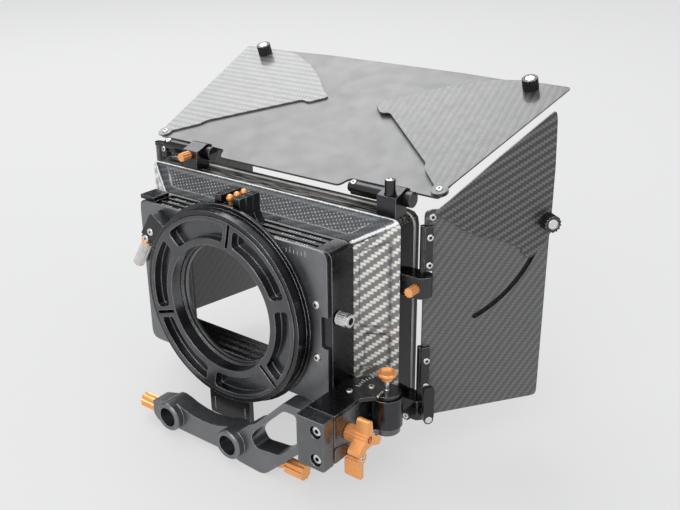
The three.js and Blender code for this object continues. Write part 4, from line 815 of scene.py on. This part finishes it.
@dataclass
class Support:
    """Rod bracket, arm, slide, pivot plate and their screws."""

    shop: Workshop
    bolts: Fixing = Fixing(SocketScrew(4.2, 3.6, 0.4), REARWARD, 12, ((109.5, -1.05, 42), (109.5, -1.05, 21)))
    plate: Fixing = Fixing(SocketScrew(2.4, 1.1), UPWARD, 20, ((105.0, 36.7, 49.95), (113.9, 49.5, 49.95)))
    knob_screw: Fixing = Fixing(SocketScrew(2.3, 1.4, 0.62), RIGHTWARD, 0, ((130.6, 20, 32),))
    latch_screw: Fixing = Fixing(SocketScrew(2.1, 0.5, 0.4), RIGHTWARD, 0, ((125.65, 22.6, 12.4),))
    pivot: tuple = (124.6, 52, 0)
    pin_neck: tuple = ((1.9, 58.0), (3.6, 58.1), (4.0, 58.6), (4.1, 59.9))
    pin_flare: tuple = ((4.7, 60.4), (6.2, 61.6), (6.6, 62.6))
    pin_dish: tuple = ((6.5, 63.4), (6.0, 64.35), (5.5, 64.3), (5.0, 63.7), (3.6, 62.6), (0.5, 62.4))
    pin_stem: tuple = ((2.0, 36.0), (2.0, 51.0), (1.7, 51.4), (1.7, 58.0))
    cross_pin: tuple = ((0.5, 0), (0.9, 0.4), (0.9, 7.4), (0.5, 7.8))
    cross_seat: tuple = (125.2, 40.0, 50.9)
    cross_axis: tuple = (-0.1, 1, 0)
    arm_face: float = 115.9
    upper_cut: tuple = ((6.6, 47.2), (7.2, 45.6), (7.0, 34.0))
    lower_cut: tuple = ((20.0, 22.6), (7.0, 26.0), (5.2, 24.4), (4.8, 18.6))
    cut_half: float = 0.35
    cut_end: float = 0.3
    ticks: int = 7
    tick_turns: tuple = (154, 7.5)
    tick_radius: float = 18.2
    tick_lengths: tuple = (3.4, 2.2, 2.2)
    tick_half: float = 0.45
    tick_seat: tuple = (124.6, 52, 50)
    tick_levels: tuple = (-0.05, 0.06)

    def build(self) -> None:
        """Dress and detail the support."""
        self.shop.dress("grey_metal", "rod_bracket")
        self.shop.dress("arm_metal", "arm_block", "arm_slide")
        self.shop.dress("black_metal", "pivot_plate")
        self.shop.dress("orange_metal", "rod_screw_left", "rod_screw_right", "tension_knob", "flip_latch")
        self.shop.screws("support_screws", "support", self.bolts, self.plate)
        self.marks()
        self.pins()
        self.shop.screws("knob_screw", "tension_knob", self.knob_screw)
        self.shop.screws("latch_screw", "flip_latch", self.latch_screw)
        self.seams()

    def pins(self) -> None:
        """Turned eject pin with a dished head on a bright stem, and its cross pin."""
        mesh = Mesh()
        mesh.lathe(self.pin_neck + self.pin_flare + self.pin_dish, Place.at(self.pivot), steps=40)
        mesh.lathe(self.pin_stem, Place.at(self.pivot), steps=24, material=1)
        finishes = ("orange_metal", "silver_metal")
        self.shop.add(mesh, "eject_pin_turned", "eject_pin", Slot.ORANGE, finishes, ("eject_pin",))
        mesh = Mesh()
        mesh.lathe(self.cross_pin, Place.at(self.cross_seat, self.cross_axis), steps=16)
        self.shop.add(mesh, "cross_pin", "support", Slot.METAL, ("silver_metal",))

    def seams(self) -> None:
        """Dark saw cuts in the outer face of the arm."""
        mesh = Mesh()
        half, end = self.cut_half, self.cut_end
        for path in (self.upper_cut, self.lower_cut):
            for (y0, z0), (y1, z1) in zip(path, path[1:]):
                along = Vector((0, y1 - y0, z1 - z0))
                seat = Place.at((self.arm_face, y0, z0), along)
                mesh.box((-half, -half, -end), (half, half, along.length + end), seat)
        self.shop.add(mesh, "arm_seams", "support", Slot.BLACK, ("socket_shade_and_seam_black",))

    def marks(self) -> None:
        """Arc of engraved ticks round the pivot."""
        mesh = Mesh()
        first, step = self.tick_turns
        low, high = self.tick_levels
        for i in range(self.ticks):
            reach = self.tick_radius + self.tick_lengths[i % len(self.tick_lengths)]
            turn = Matrix.Rotation(math.radians(first + step * i), 4, "Z")
            seat = Place(Matrix.Translation(self.tick_seat) @ turn)
            mesh.box((self.tick_radius, -self.tick_half, low), (reach, self.tick_half, high), seat)
        self.shop.add(mesh, "pivot_marks", "support", Slot.METAL, ("label_white",))


@dataclass
class LensClamp:
    """Clamp ring with its lug and tongue, the reduction ring and the ring screw."""

    shop: Workshop
    lug: Fixing = Fixing(SocketScrew(2.9, 1.0, 0.36), REARWARD, 10, ((-68, 27.0, 127), (-73.7, 27.0, 120.6)))
    screw_depth: float = 31.0
    ring_height: float = 85
    screw_angle: float = math.radians(147)
    screw_radius: float = 81
    washer_reach: float = 12.45
    washer: tuple = ((2.3, 0), (5.2, 0), (5.5, 0.4), (5.5, 1.6), (5.2, 2.0), (5.0, 2.0))
    line_places: tuple = (-15, 15)
    line_half: float = 0.3
    line_heights: tuple = (-5, 6)
    tongue_face: float = 29.2
    line_proud: float = 0.05

    def build(self) -> None:
        """Dress and detail the clamp."""
        self.shop.dress("black_metal", "clamp_ring")
        self.shop.dress("ring_metal", "reduction_ring")
        self.shop.dress("silver_metal", "ring_screw")
        self.shop.screws("lug_screws", "matte_box", self.lug)
        self.ring_disc()
        self.tongue_lines()

    def ring_disc(self) -> None:
        """Orange washer under the ring screw's head."""
        across, up = math.cos(self.screw_angle), math.sin(self.screw_angle)
        along = Vector((-up, 0, across))
        height = self.ring_height + self.screw_radius * up
        seat = Vector((self.screw_radius * across, self.screw_depth, height))
        mesh = Mesh()
        mesh.lathe(self.washer, Place.at(seat + along * self.washer_reach, along), steps=36)
        self.shop.add(mesh, "ring_screw_washer", "ring_screw", Slot.ORANGE, ("orange_metal",))

    def tongue_lines(self) -> None:
        """Two upright index lines on the tongue."""
        mesh = Mesh()
        low, high = self.line_heights
        for x in self.line_places:
            near = (x - self.line_half, self.tongue_face - self.line_proud, low)
            mesh.box(near, (x + self.line_half, self.tongue_face, high))
        self.shop.add(mesh, "tongue_lines", "matte_box", Slot.BLACK, ("label_white",))


@dataclass
class FilterStage:
    """Rear plate, stage body, trays, buttons and knobs."""

    shop: Workshop
    plate: Fixing = Fixing(SocketScrew(3.1, 1.2, 0.4), REARWARD, 15, ((78, 36.5, 105.8), (78, 36.5, 66.5)))
    tray_places: tuple = (42, 49, 56)
    group_starts: tuple = (-70, -52, 40, 58)
    group_reaches: tuple = (1.2, 0.8, 0.8, 0.8, 1.2)
    group_step: float = 2.2
    group_width: float = 0.8
    group_levels: tuple = (143.58, 143.66)
    scale_ticks: int = 9
    scale_start: float = 44
    scale_step: float = 3.2
    scale_width: float = 0.5
    scale_depths: tuple = (36.44, 36.5)
    scale_heights: tuple = (138.0, 140.6)
    scale_extras: tuple = (1.2, 0.0, 0.0, 0.0)
    knob_seat: tuple = (90.3, 44.5, 97)
    knob_steps: int = 96
    knob_grooves: int = 16
    knob_stem: tuple = ((-5.7, 2.0, 0.0), (0.0, 2.0, 0.0), (0.0, 4.3, 0.0), (0.7, 4.9, 0.0))
    knob_grip: tuple = ((1.0, 4.9, 0.9), (7.4, 4.9, 0.9), (7.8, 4.3, 0.0), (8.2, 4.3, 0.0))
    knob_lip: tuple = ((8.4, 4.7, 0.0), (10.0, 4.7, 0.0), (10.4, 4.3, 0.0), (10.4, 2.5, 0.0), (9.0, 2.3, 0.0))
    knob_socket: tuple = (8.5, 10.39, 2.6)

    def build(self) -> None:
        """Dress and detail the stage."""
        dress = self.shop.dress
        dress("plate_metal", "rear_plate")
        dress("black_metal", "filter_stage", "stop_tab", "filter_tray_1", "filter_tray_2", "filter_tray_3")
        dress("orange_metal", "tray_button_1", "tray_button_2", "tray_button_3")
        dress("orange_metal", "push_button_upper", "push_button_lower")
        dress("black_metal", "swing_yoke")
        self.shop.screws("plate_screws", "matte_box", self.plate)
        self.tray_marks()
        self.scale()
        self.knob()

    def tray_marks(self) -> None:
        """Plain ticks on the trays' upper edges, in groups of five."""
        low, high = self.group_levels
        for number, y in enumerate(self.tray_places, 1):
            mesh = Mesh()
            for start in self.group_starts:
                for k, reach in enumerate(self.group_reaches):
                    x = start + self.group_step * k
                    mesh.box((x, y - reach, low), (x + self.group_width, y + reach, high))
            self.shop.add(mesh, f"tray_marks_{number}", f"filter_tray_{number}", Slot.BLACK, ("label_white",))

    def scale(self) -> None:
        """Plain ticks at the upper right of the rear plate."""
        mesh = Mesh()
        (near, far), (low, high) = self.scale_depths, self.scale_heights
        for i in range(self.scale_ticks):
            x = self.scale_start + self.scale_step * i
            top = high + self.scale_extras[i % len(self.scale_extras)]
            mesh.box((x, near, low), (x + self.scale_width, far, top))
        self.shop.add(mesh, "plate_scale", "matte_box", Slot.PLATE, ("label_white",))

    def knob_ring(self, height: float, outer: float, groove: float) -> list:
        """Loop of the side knob at a height, from its outer radius and the depth of its grooves."""
        count = self.knob_grooves
        return ring(lambda t: outer - groove * max(0.0, math.cos(count * t)) ** 2, height, self.knob_steps)

    def knob(self) -> None:
        """Deeply knurled side knob with a socket in its face, painted black as shade."""
        mesh = Mesh()
        place = Place.at(self.knob_seat, RIGHTWARD)
        floor, top, reach = self.knob_socket
        rings = [self.knob_ring(*row) for row in self.knob_stem + self.knob_grip + self.knob_lip]
        for face in mesh.rings(rings, place):
            centre = place.matrix.inverted() @ face.calc_center_median()
            face.material_index = int(floor < centre.z < top and math.hypot(centre.x, centre.y) < reach)
        finishes = ("silver_metal", "socket_shade_and_seam_black")
        self.shop.add(mesh, "side_knob_turned", "side_knob", Slot.METAL, finishes, ("side_knob",))


@dataclass
class Hood:
    """Flared carbon shell with embossed panels, and the square rim.

    The rear and front sections are half width, half height and depth, and the corners are their radii. The
    two lengths are those of the upright and the level faces along the flare. The panels' ends are taken along
    these lengths, and their margins and gap along the section.
    """

    shop: Workshop
    rear: tuple = (88.7, 60.0, 62.0)
    front: tuple = (116.4, 75.5, 78.0)
    centre: float = 85.0
    corners: tuple = (3.2, 6.0)
    side_length: float = 32.0
    level_length: float = 22.3
    side_steps: int = 96
    level_steps: int = 120
    corner_steps: int = 6
    wall: float = 5.2
    back_wall: float = 2.4
    aperture: tuple = (66.0, 43.0)
    lining: tuple = (80.0, 50.0, 3.0)
    seam_share: float = 0.02
    notch_low: float = -33.0
    notch_side: float = 92.0
    notch_end: float = 72.8
    notch_half: float = 0.05
    step: float = 2.4
    relief: float = 1.7
    side_margin: float = 5.0
    side_gap: tuple = (-3.0, -6.0)
    upper_ends: tuple = (4.5, 27.5)
    lower_ends: tuple = (8.0, 27.5)
    level_margin: float = 7.0
    level_ends: tuple = (4.0, 20.8)
    rows: int = 26
    # Inset of the lighter edge line, as a share of the corner radius: scuffs and a painted highlight.
    scuff_and_glint_corner_share: float = 0.3
    lip_corner: float = 9.0
    bead: tuple = ((-0.6, 95.2), (-0.6, 93.4), (0.35, 93.4), (0.65, 93.9), (0.65, 95.2), (-0.6, 95.2))

    def build(self) -> None:
        """Build the shell and dress the rim."""
        self.shop.dress("rim_plastic", "hood_rim")
        self.shell()
        self.paint_lip_highlight()

    def size(self, share: float) -> tuple:
        """Half width, half height and corner radius of a section at a share of the way forward."""
        pairs = (self.rear[0], self.front[0]), (self.rear[1], self.front[1]), self.corners
        return tuple(start + (end - start) * share for start, end in pairs)

    def outline(self, half_width: float, half_height: float, corner: float) -> list:
        """Points of one section with their outward directions and side.

        Args:
            half_width: Half width.
            half_height: Half height.
            corner: Corner radius.

        Returns:
            Tuples of x, z, outward x and z, side (0 right, 1 top, 2 left, 3 bottom) and place along it.
        """
        points = []
        for side in range(4):
            reach, length, count = half_width, half_height, self.side_steps
            if side % 2:
                reach, length, count = half_height, half_width, self.level_steps
            run = length - corner
            turn = math.pi / 2 * side
            normal = Vector((math.cos(turn), math.sin(turn)))
            along = Vector((-math.sin(turn), math.cos(turn)))
            for k in range(count):
                a = -run + 2 * run * k / (count - 1)
                p = normal * reach + along * a
                points.append((p.x, p.y, normal.x, normal.y, side, a / run))
            for k in range(1, self.corner_steps):
                angle = turn + math.pi / 2 * k / self.corner_steps
                out = Vector((math.cos(angle), math.sin(angle)))
                p = normal * (reach - corner) + along * run + out * corner
                points.append((p.x, p.y, out.x, out.y, side, 1.0))
        return points

    def soft(self, reach: float) -> float:
        """Soft step: 0 up to an end, 1 at a step's length past it."""
        t = min(1.0, max(0.0, reach / self.step))
        return t * t * (3 - 2 * t)

    def inside(self, value: float, low: float, high: float) -> float:
        """Share of the relief at a place between two ends: 0 outside, 1 inside."""
        return self.soft(value - low) * self.soft(high - value)

    def emboss(self, side: int, place: float, share: float, half: float) -> float:
        """Depth of the panel's relief.

        Args:
            side: Side of the hood.
            place: Place along the side, -1 to 1.
            share: Share of the way from the rear section to the front.
            half: Half length of the side in millimetres.

        Returns:
            Inward shift in millimetres.
        """
        a = place * half
        if side % 2:
            edge = half - self.level_margin
            ends = self.inside(share * self.level_length, *self.level_ends)
            return self.relief * self.inside(a, -edge, edge) * ends
        edge, t = half - self.side_margin, share * self.side_length
        upper = self.inside(a, self.side_gap[0], edge) * self.inside(t, *self.upper_ends)
        lower = self.inside(a, -edge, self.side_gap[1]) * self.inside(t, *self.lower_ends)
        return self.relief * max(upper, lower)

    def section(self, y: float, inset: float, embossed: bool) -> list:
        """One section of the shell.

        Args:
            y: Depth along the optical axis.
            inset: Wall thickness to take off.
            embossed: Whether the panels are pressed in.

        Returns:
            The points.
        """
        share = (y - self.rear[2]) / (self.front[2] - self.rear[2])
        width, height, corner = self.size(share)
        loop = []
        for x, z, nx, nz, side, place in self.outline(width, height, corner):
            cut = inset
            if embossed and 0.0 < share < 1.0 and abs(place) < 1.0:
                cut += self.emboss(side, place, share, (width if side % 2 else height) - corner)
            px, pz = x - nx * cut, z - nz * cut
            if pz < self.notch_low and y < self.notch_end:
                px = min(px, self.notch_side - inset)
            loop.append((px, y, self.centre + pz))
        return loop

    def nearness(self, x: float, y: float, z: float) -> tuple:
        """Where a point of the skin lies on its side.

        Args:
            x: Sideways place in millimetres.
            y: Depth along the optical axis.
            z: Height.

        Returns:
            Distance to the nearest edge lightened by scuffs and a painted highlight, below zero on the level
            sides, and share of the relief.
        """
        share = min(1.0, max(0.0, (y - self.rear[2]) / (self.front[2] - self.rear[2])))
        width, height, corner = self.size(share)
        z -= self.centre
        # Inset of the lighter edge line: scuffs, and a painted highlight on the rounded corner.
        edge_scuff_and_glint = corner * self.scuff_and_glint_corner_share
        if width - abs(x) < height - abs(z):
            run, place, side = height - corner, math.copysign(z, x * z), 0
            edge = height - edge_scuff_and_glint - abs(z)
        else:
            run, place, side = width - corner, x, 1
            edge = -min(width - edge_scuff_and_glint - abs(x), (1.0 - share) * self.level_length)
        depth = 0.0
        if 0.0 < share < 1.0 and abs(place) < run:
            depth = self.emboss(side, place / run, share, run) / self.relief
        return edge, depth

    def paint_lip_highlight(self) -> None:
        """Pale bead along the rear edge of the rim's lip, painted as the lip's highlight."""
        loop = []
        for out, y in self.bead:
            points = self.outline(self.front[0] + out, self.front[1] + out, self.lip_corner + out)
            loop.append([(x, y, self.centre + z) for x, z, *_ in points])
        mesh = Mesh()
        mesh.rings(loop, PART, False)
        mesh.weld()
        self.shop.add(mesh, "rim_lip_highlight", "matte_box", Slot.BLACK, ("lip_highlight",))

    def skin_rings(self) -> list:
        """Rings of the outer skin, the inner skin and the rear wall round the aperture.

        Returns:
            The rings, of which the first and the last are the same.
        """
        y0, y1 = self.rear[2], self.front[2]
        depths = [y0 + (y1 - y0) * i / self.rows for i in range(self.rows + 1)]
        depths = sorted(depths + [self.notch_end - self.notch_half, self.notch_end + self.notch_half])
        inside = y0 + self.back_wall
        outer = [self.section(y, 0.0, True) for y in depths]
        inner = [self.section(y, self.wall, False) for y in reversed(depths) if y > inside]
        back = self.section(inside, self.wall, False)
        hole = []
        for x, _, z in back:
            k = max(abs(x) / self.aperture[0], abs(z - self.centre) / self.aperture[1])
            hole.append((x / k, self.centre + (z - self.centre) / k))
        rear_edge, front_edge = ([(x, y, z) for x, z in hole] for y in (y0, inside))
        return [rear_edge, *outer, *inner, back, front_edge, rear_edge]

    def shell(self) -> None:
        """Carbon skin as one closed mesh, with what its finishes need to know of each vertex."""
        mesh = Mesh()
        mesh.rings(self.skin_rings(), PART, False)
        mesh.weld()
        edge, recess = (mesh.bm.verts.layers.float.new(name) for name in ("edge", "recess"))
        for vert in mesh.bm.verts:
            vert[edge], vert[recess] = self.nearness(*vert.co)
        across, high, deep = self.lining
        for face in mesh.bm.faces:
            x, y, z = face.calc_center_median()
            lined = y < self.rear[2] + deep and abs(x) < across and abs(z - self.centre) < high
            # Side faces and level faces take lighter and darker copies of one carbon: painted light and
            # shade.
            level = abs(z - self.centre) / self.front[1] > abs(x) / self.front[0] - self.seam_share
            face.material_index = 2 if lined else int(level)
        finishes = ("carbon_shell_side", "carbon_shell_top", "black_plastic")
        self.shop.add(mesh, "hood_skin", "matte_box", Slot.SHELL, finishes, ("hood_shell",))


@dataclass
class Clamps:
    """Clamps, their screws, hinge barrels and the corner brackets."""

    shop: Workshop
    corner: Fixing = Fixing(SocketScrew(2.2, 1.0), REARWARD, 10, ((-115.4, 89.0, 167.0),))
    barrel_places: tuple = (-109.5, 70.5)
    barrel_up: tuple = (0, -0.4, 0.92)
    barrel_reach: float = 3.7
    end_shares: tuple = (1.0, 1.0, 0.9, 0.35, 0.3)
    end_heights: tuple = (0.0, 0.25, 0.4, 0.4, 0.1)
    ends: tuple = (
        ("top_screw_right", (104.5, 82.6, 185.1), UPWARD, 3.2),
        ("side_screw_lower", (128.9, 69.2, 23.0), REARWARD, 2.2),
        ("lower_lever", (144.35, 73.85, 23.0), (0.809, -0.588, 0), 2.5),
    )

    def build(self) -> None:
        """Dress and detail the clamps."""
        dress = self.shop.dress
        dress("black_metal", "top_clamp_left", "top_clamp_right", "side_clamp_upper", "side_clamp_lower")
        dress("black_metal", "top_hinge_left", "top_hinge_right", "right_hinge_upper", "right_hinge_lower")
        dress("black_metal", "corner_bracket_upper", "corner_bracket_lower", "top_screw_right")
        dress("orange_metal", "top_screw_left", "side_screw_upper")
        dress("black_plastic", "lower_lever", "side_screw_lower")
        self.clamp_screws()
        self.bright_ends()

    def clamp_screws(self) -> None:
        """Screws of the corner bracket and of the hinge barrels."""
        self.shop.screws("corner_screw", "matte_box", self.corner)
        up = Vector(self.barrel_up).normalized()
        seats = tuple(Vector((x, *TOP_HINGE[1:])) + up * self.barrel_reach for x in self.barrel_places)
        self.shop.screws("barrel_screws", "top_flag", Fixing(self.corner.screw, up, self.corner.spin, seats))

    def bright_ends(self) -> None:
        """Bare metal ends of the upright screw, the lower screw and the lower lever."""
        for body, seat, axis, radius in self.ends:
            mesh = Mesh()
            profile = [(radius * share, height) for share, height in zip(self.end_shares, self.end_heights)]
            mesh.lathe(profile, Place.at(seat, axis), steps=24)
            self.shop.add(mesh, f"{body}_end", body, Slot.METAL, ("silver_metal",))


@dataclass
class Flags:
    """Top flag with its fanning wings, the right flag with its wing, and the left flag.

    A wing is its side, its sideways place and the level of its underside on the top flag.
    """

    shop: Workshop
    screw: SocketScrew = SocketScrew(2.4, 0.9)
    spin: float = 10
    wings: tuple = (("left", -129, 0.3), ("right", 129, 1.9))
    wing_thickness: float = 1.2
    wing_screw_forward: float = 5.0
    sunk: float = 0.05
    hinge_row: tuple = (3.45, 3.6)
    hinge_heights: tuple = (65.4, 46.0, -25.2, -45.0)
    side_screw_seat: tuple = (2.25, 5.4, 78.9)
    arc_centre: tuple = (5.4, 78.9)
    arc_radius: float = 84.0
    arc_ends: tuple = (math.radians(-8.5), math.radians(-66.0))
    arc_steps: int = 36
    arc_end_steps: int = 8
    channel: tuple = ((1.75, -1.5), (1.75, 0.72), (1.96, 0.72), (1.96, -0.85), (3.0, -0.85), (3.0, -2.2))
    sheet_half: float = 0.8
    gap: float = 0.3
    knob_length: float = 8.5
    knob_forward: float = 137
    cap_depth: float = 0.8
    cap: tuple = ((3.6, 0.0), (3.6, 0.55), (3.25, 0.85), (1.3, 0.85), (1.2, 0.5))

    def build(self) -> None:
        """Dress and detail the flags."""
        dress = self.shop.dress
        dress("flag_satin", "top_flag")
        dress("carbon_left_wing", "top_wing_left")
        dress("carbon_right_wing", "top_wing_right")
        dress("carbon_right_flag", "right_flag")
        dress("carbon_fan", "right_wing")
        dress("carbon_left_flag", "left_flag")
        dress("black_metal", "top_knob_left", "top_knob_right", "right_knob")
        self.screws()
        self.liner()
        self.caps()

    def screws(self) -> None:
        """Screws on which the wings turn, and those of the right flag's hinge strip."""
        for side, x, level in self.wings:
            seat = (x, self.wing_screw_forward, level + self.wing_thickness - self.sunk)
            fixing = Fixing(self.screw, UPWARD, self.spin, (seat,))
            self.shop.screws(f"wing_screw_{side}", f"top_wing_{side}", fixing, base=TOP_FLAG)
        strip = tuple((*self.hinge_row, z) for z in self.hinge_heights)
        pivot = (self.side_screw_seat,)
        rows = ("right_flag_screws", "right_flag", strip), ("wing_screw_side", "right_wing", pivot)
        for name, body, seats in rows:
            self.shop.screws(name, body, Fixing(self.screw, RIGHTWARD, self.spin, seats), base=RIGHT_FLAG)

    def arc_outline(self, half: float, x: float) -> list:
        """Outline of the arc slot.

        Args:
            half: Half its width.
            x: Height of the outline off the flag's middle.

        Returns:
            Points of the outline.
        """
        start, end = self.arc_ends
        centre, radius = Vector(self.arc_centre), self.arc_radius
        tip, heel = (centre + radius * Vector((math.cos(a), math.sin(a))) for a in (end, start))
        runs = (
            (centre, radius + half, start, end, self.arc_steps),
            (tip, half, end, end - math.pi, self.arc_end_steps),
            (centre, radius - half, end, start, self.arc_steps),
            (heel, half, start + math.pi, start, self.arc_end_steps),
        )
        points = []
        for middle, reach, low, high, steps in runs:
            for step in range(steps):
                angle = low + (high - low) * step / steps
                points.append((x, middle.x + reach * math.cos(angle), middle.y + reach * math.sin(angle)))
        return points

    def liner(self) -> None:
        """Black channel that lines the arc slot and closes it behind the flag."""
        mesh = Mesh()
        mesh.rings([self.arc_outline(half, x) for half, x in self.channel], RIGHT_FLAG)
        self.shop.add(mesh, "slot_liner", "right_flag", Slot.BLACK, ("black_plastic",))

    def caps(self) -> None:
        """Silver caps in the knobs' faces."""
        rise = self.wing_thickness + self.gap + self.knob_length - self.cap_depth
        seats = {}
        for side, x, level in self.wings:
            seats[f"top_knob_{side}"] = TOP_FLAG.to((x, self.knob_forward, level + rise))
        start = self.arc_ends[0]
        forward, height = self.arc_centre
        at = (
            self.sheet_half + self.gap + rise,
            forward + self.arc_radius * math.cos(start),
            height + self.arc_radius * math.sin(start),
        )
        seats["right_knob"] = RIGHT_FLAG.to(at, RIGHTWARD)
        for body, seat in seats.items():
            mesh = Mesh()
            mesh.lathe(self.cap, seat, steps=28)
            self.shop.add(mesh, body.replace("knob", "knob_cap"), body, Slot.METAL, ("silver_metal",))


@dataclass(frozen=True)
class Lamp:
    """Soft square light, in metres and watts."""

    name: str
    at: Point
    to: Point
    size: float
    power: float

    def build(self) -> None:
        """Hang the lamp and face it to its target."""
        lamp = bpy.data.lights.new(self.name, "AREA")
        lamp.size, lamp.energy = self.size, self.power
        made = bpy.data.objects.new(self.name, lamp)
        made.location = self.at
        made.rotation_mode = "QUATERNION"
        made.rotation_quaternion = (Vector(self.to) - Vector(self.at)).to_track_quat("-Z", "Y")
        bpy.context.scene.collection.objects.link(made)


@dataclass
class Studio:
    """Floor, soft light and camera."""

    floor_level: float = -15.6
    floor_depth: float = 20.0
    floor_half: float = 9.0
    tone: Speckle = Speckle(2.0, 0.591, 0.6)
    blue_gain: float = 1.005
    white: float = 0.86
    even: float = 0.66
    roughness: float = 0.9
    sheen: float = 0.1
    sky: tuple = (0.96, 0.98, 1.0, 1.0)
    strength: float = 0.95
    low_strength: float = 0.05
    sky_window: tuple = (0.5, 0.72)
    rear_share: float = 0.7
    rear_window: tuple = (-0.1, -0.7)
    horizon: float = 0.78
    lamps: tuple = (
        Lamp("key", (-1.15, 0.8, 1.8), (0.0, 0.12, 0.15), 1.7, 30.0),
        Lamp("front", (0.4, -2.0, 1.5), (0.0, 0.08, 0.08), 1.6, 18.0),
        Lamp("side", (2.3, -0.2, 0.8), (0.1, 0.08, 0.08), 1.2, 9.0),
    )
    eye: tuple = (0.41985, -0.38574, 0.37035)
    right: tuple = (0.79787, 0.60277, -0.009)
    down: tuple = (0.22766, -0.3151, -0.92135)
    ahead: tuple = (-0.55819, 0.73307, -0.38863)
    focal: float = 48.59
    sensor: float = 36.0
    clip: tuple = (0.01, 50.0)

    def build(self) -> None:
        """Build the studio."""
        self.floor()
        self.world()
        for lamp in self.lamps:
            lamp.build()
        self.camera()

    def floor(self) -> None:
        """Pale floor that keeps the object's shadow."""
        mesh = Mesh()
        reach = self.floor_half / MM
        mesh.box((-reach, -reach, self.floor_level - self.floor_depth), (reach, reach, self.floor_level))
        g = Graph("floor_paper")
        tone = g.speckle(self.tone)
        channels = {0: tone, 1: tone, 2: g.math("MULTIPLY", tone, self.blue_gain)}
        colour = g.node("CombineColor", channels).outputs[0]
        glow = g.node("Emission", {"Color": grey(self.white)}).outputs["Emission"]
        path = g.node("LightPath", {}).outputs
        seen = g.math("MAXIMUM", path["Is Camera Ray"], path["Is Glossy Ray"])
        paper = g.finish(Base_Color=colour, Roughness=self.roughness, Specular_IOR_Level=self.sheen)
        inputs = {0: g.math("MULTIPLY", seen, self.even), 1: g.shader.outputs["BSDF"], 2: glow}
        g.feed(g.output.inputs["Surface"], g.node("MixShader", inputs).outputs["Shader"])
        mesh.piece("floor", [paper])

    def world(self) -> None:
        """Pale surroundings: bright above and behind the object, and even where the camera sees them."""
        world = bpy.data.worlds.new("studio")
        bpy.context.scene.world = world
        world.use_nodes = True
        t = Tree(world.node_tree)
        way = t.node("SeparateXYZ", {0: t.node("TexCoord", {}).outputs["Generated"]}).outputs
        high = t.span(way["Z"], self.low_strength, self.strength, *self.sky_window)
        near = t.span(way["Y"], 0.0, self.strength * self.rear_share, *self.rear_window)
        seen = t.math("MULTIPLY", t.node("LightPath", {}).outputs["Is Camera Ray"], self.horizon)
        back = world.node_tree.nodes["Background"].inputs
        t.feed(back["Color"], self.sky)
        t.feed(back["Strength"], t.math("MAXIMUM", t.math("MAXIMUM", high, near), seen))

    def camera(self) -> None:
        """Camera fitted to the photograph."""
        lens = bpy.data.cameras.new("camera")
        lens.lens, lens.sensor_width, lens.sensor_fit = self.focal, self.sensor, "HORIZONTAL"
        lens.clip_start, lens.clip_end = self.clip
        made = bpy.data.objects.new("camera", lens)
        turn = Matrix((Vector(self.right), -Vector(self.down), -Vector(self.ahead))).transposed()
        made.matrix_world = Matrix.Translation(self.eye) @ turn.to_4x4()
        bpy.context.scene.collection.objects.link(made)
        bpy.context.scene.camera = made


def main() -> None:
    """Build every sub-assembly over the frame, then the studio."""
    logging.basicConfig(level=logging.INFO, format="%(message)s")
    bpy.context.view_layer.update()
    bpy.context.scene.view_settings.view_transform = "Standard"
    shop = Workshop(Finishes(), Smoothing(), frame["nodes"])
    for build in (Support, FilterStage, LensClamp, Hood, Clamps, Flags):
        build(shop).build()
    Studio().build()


if __name__ == "__main__":
    main()
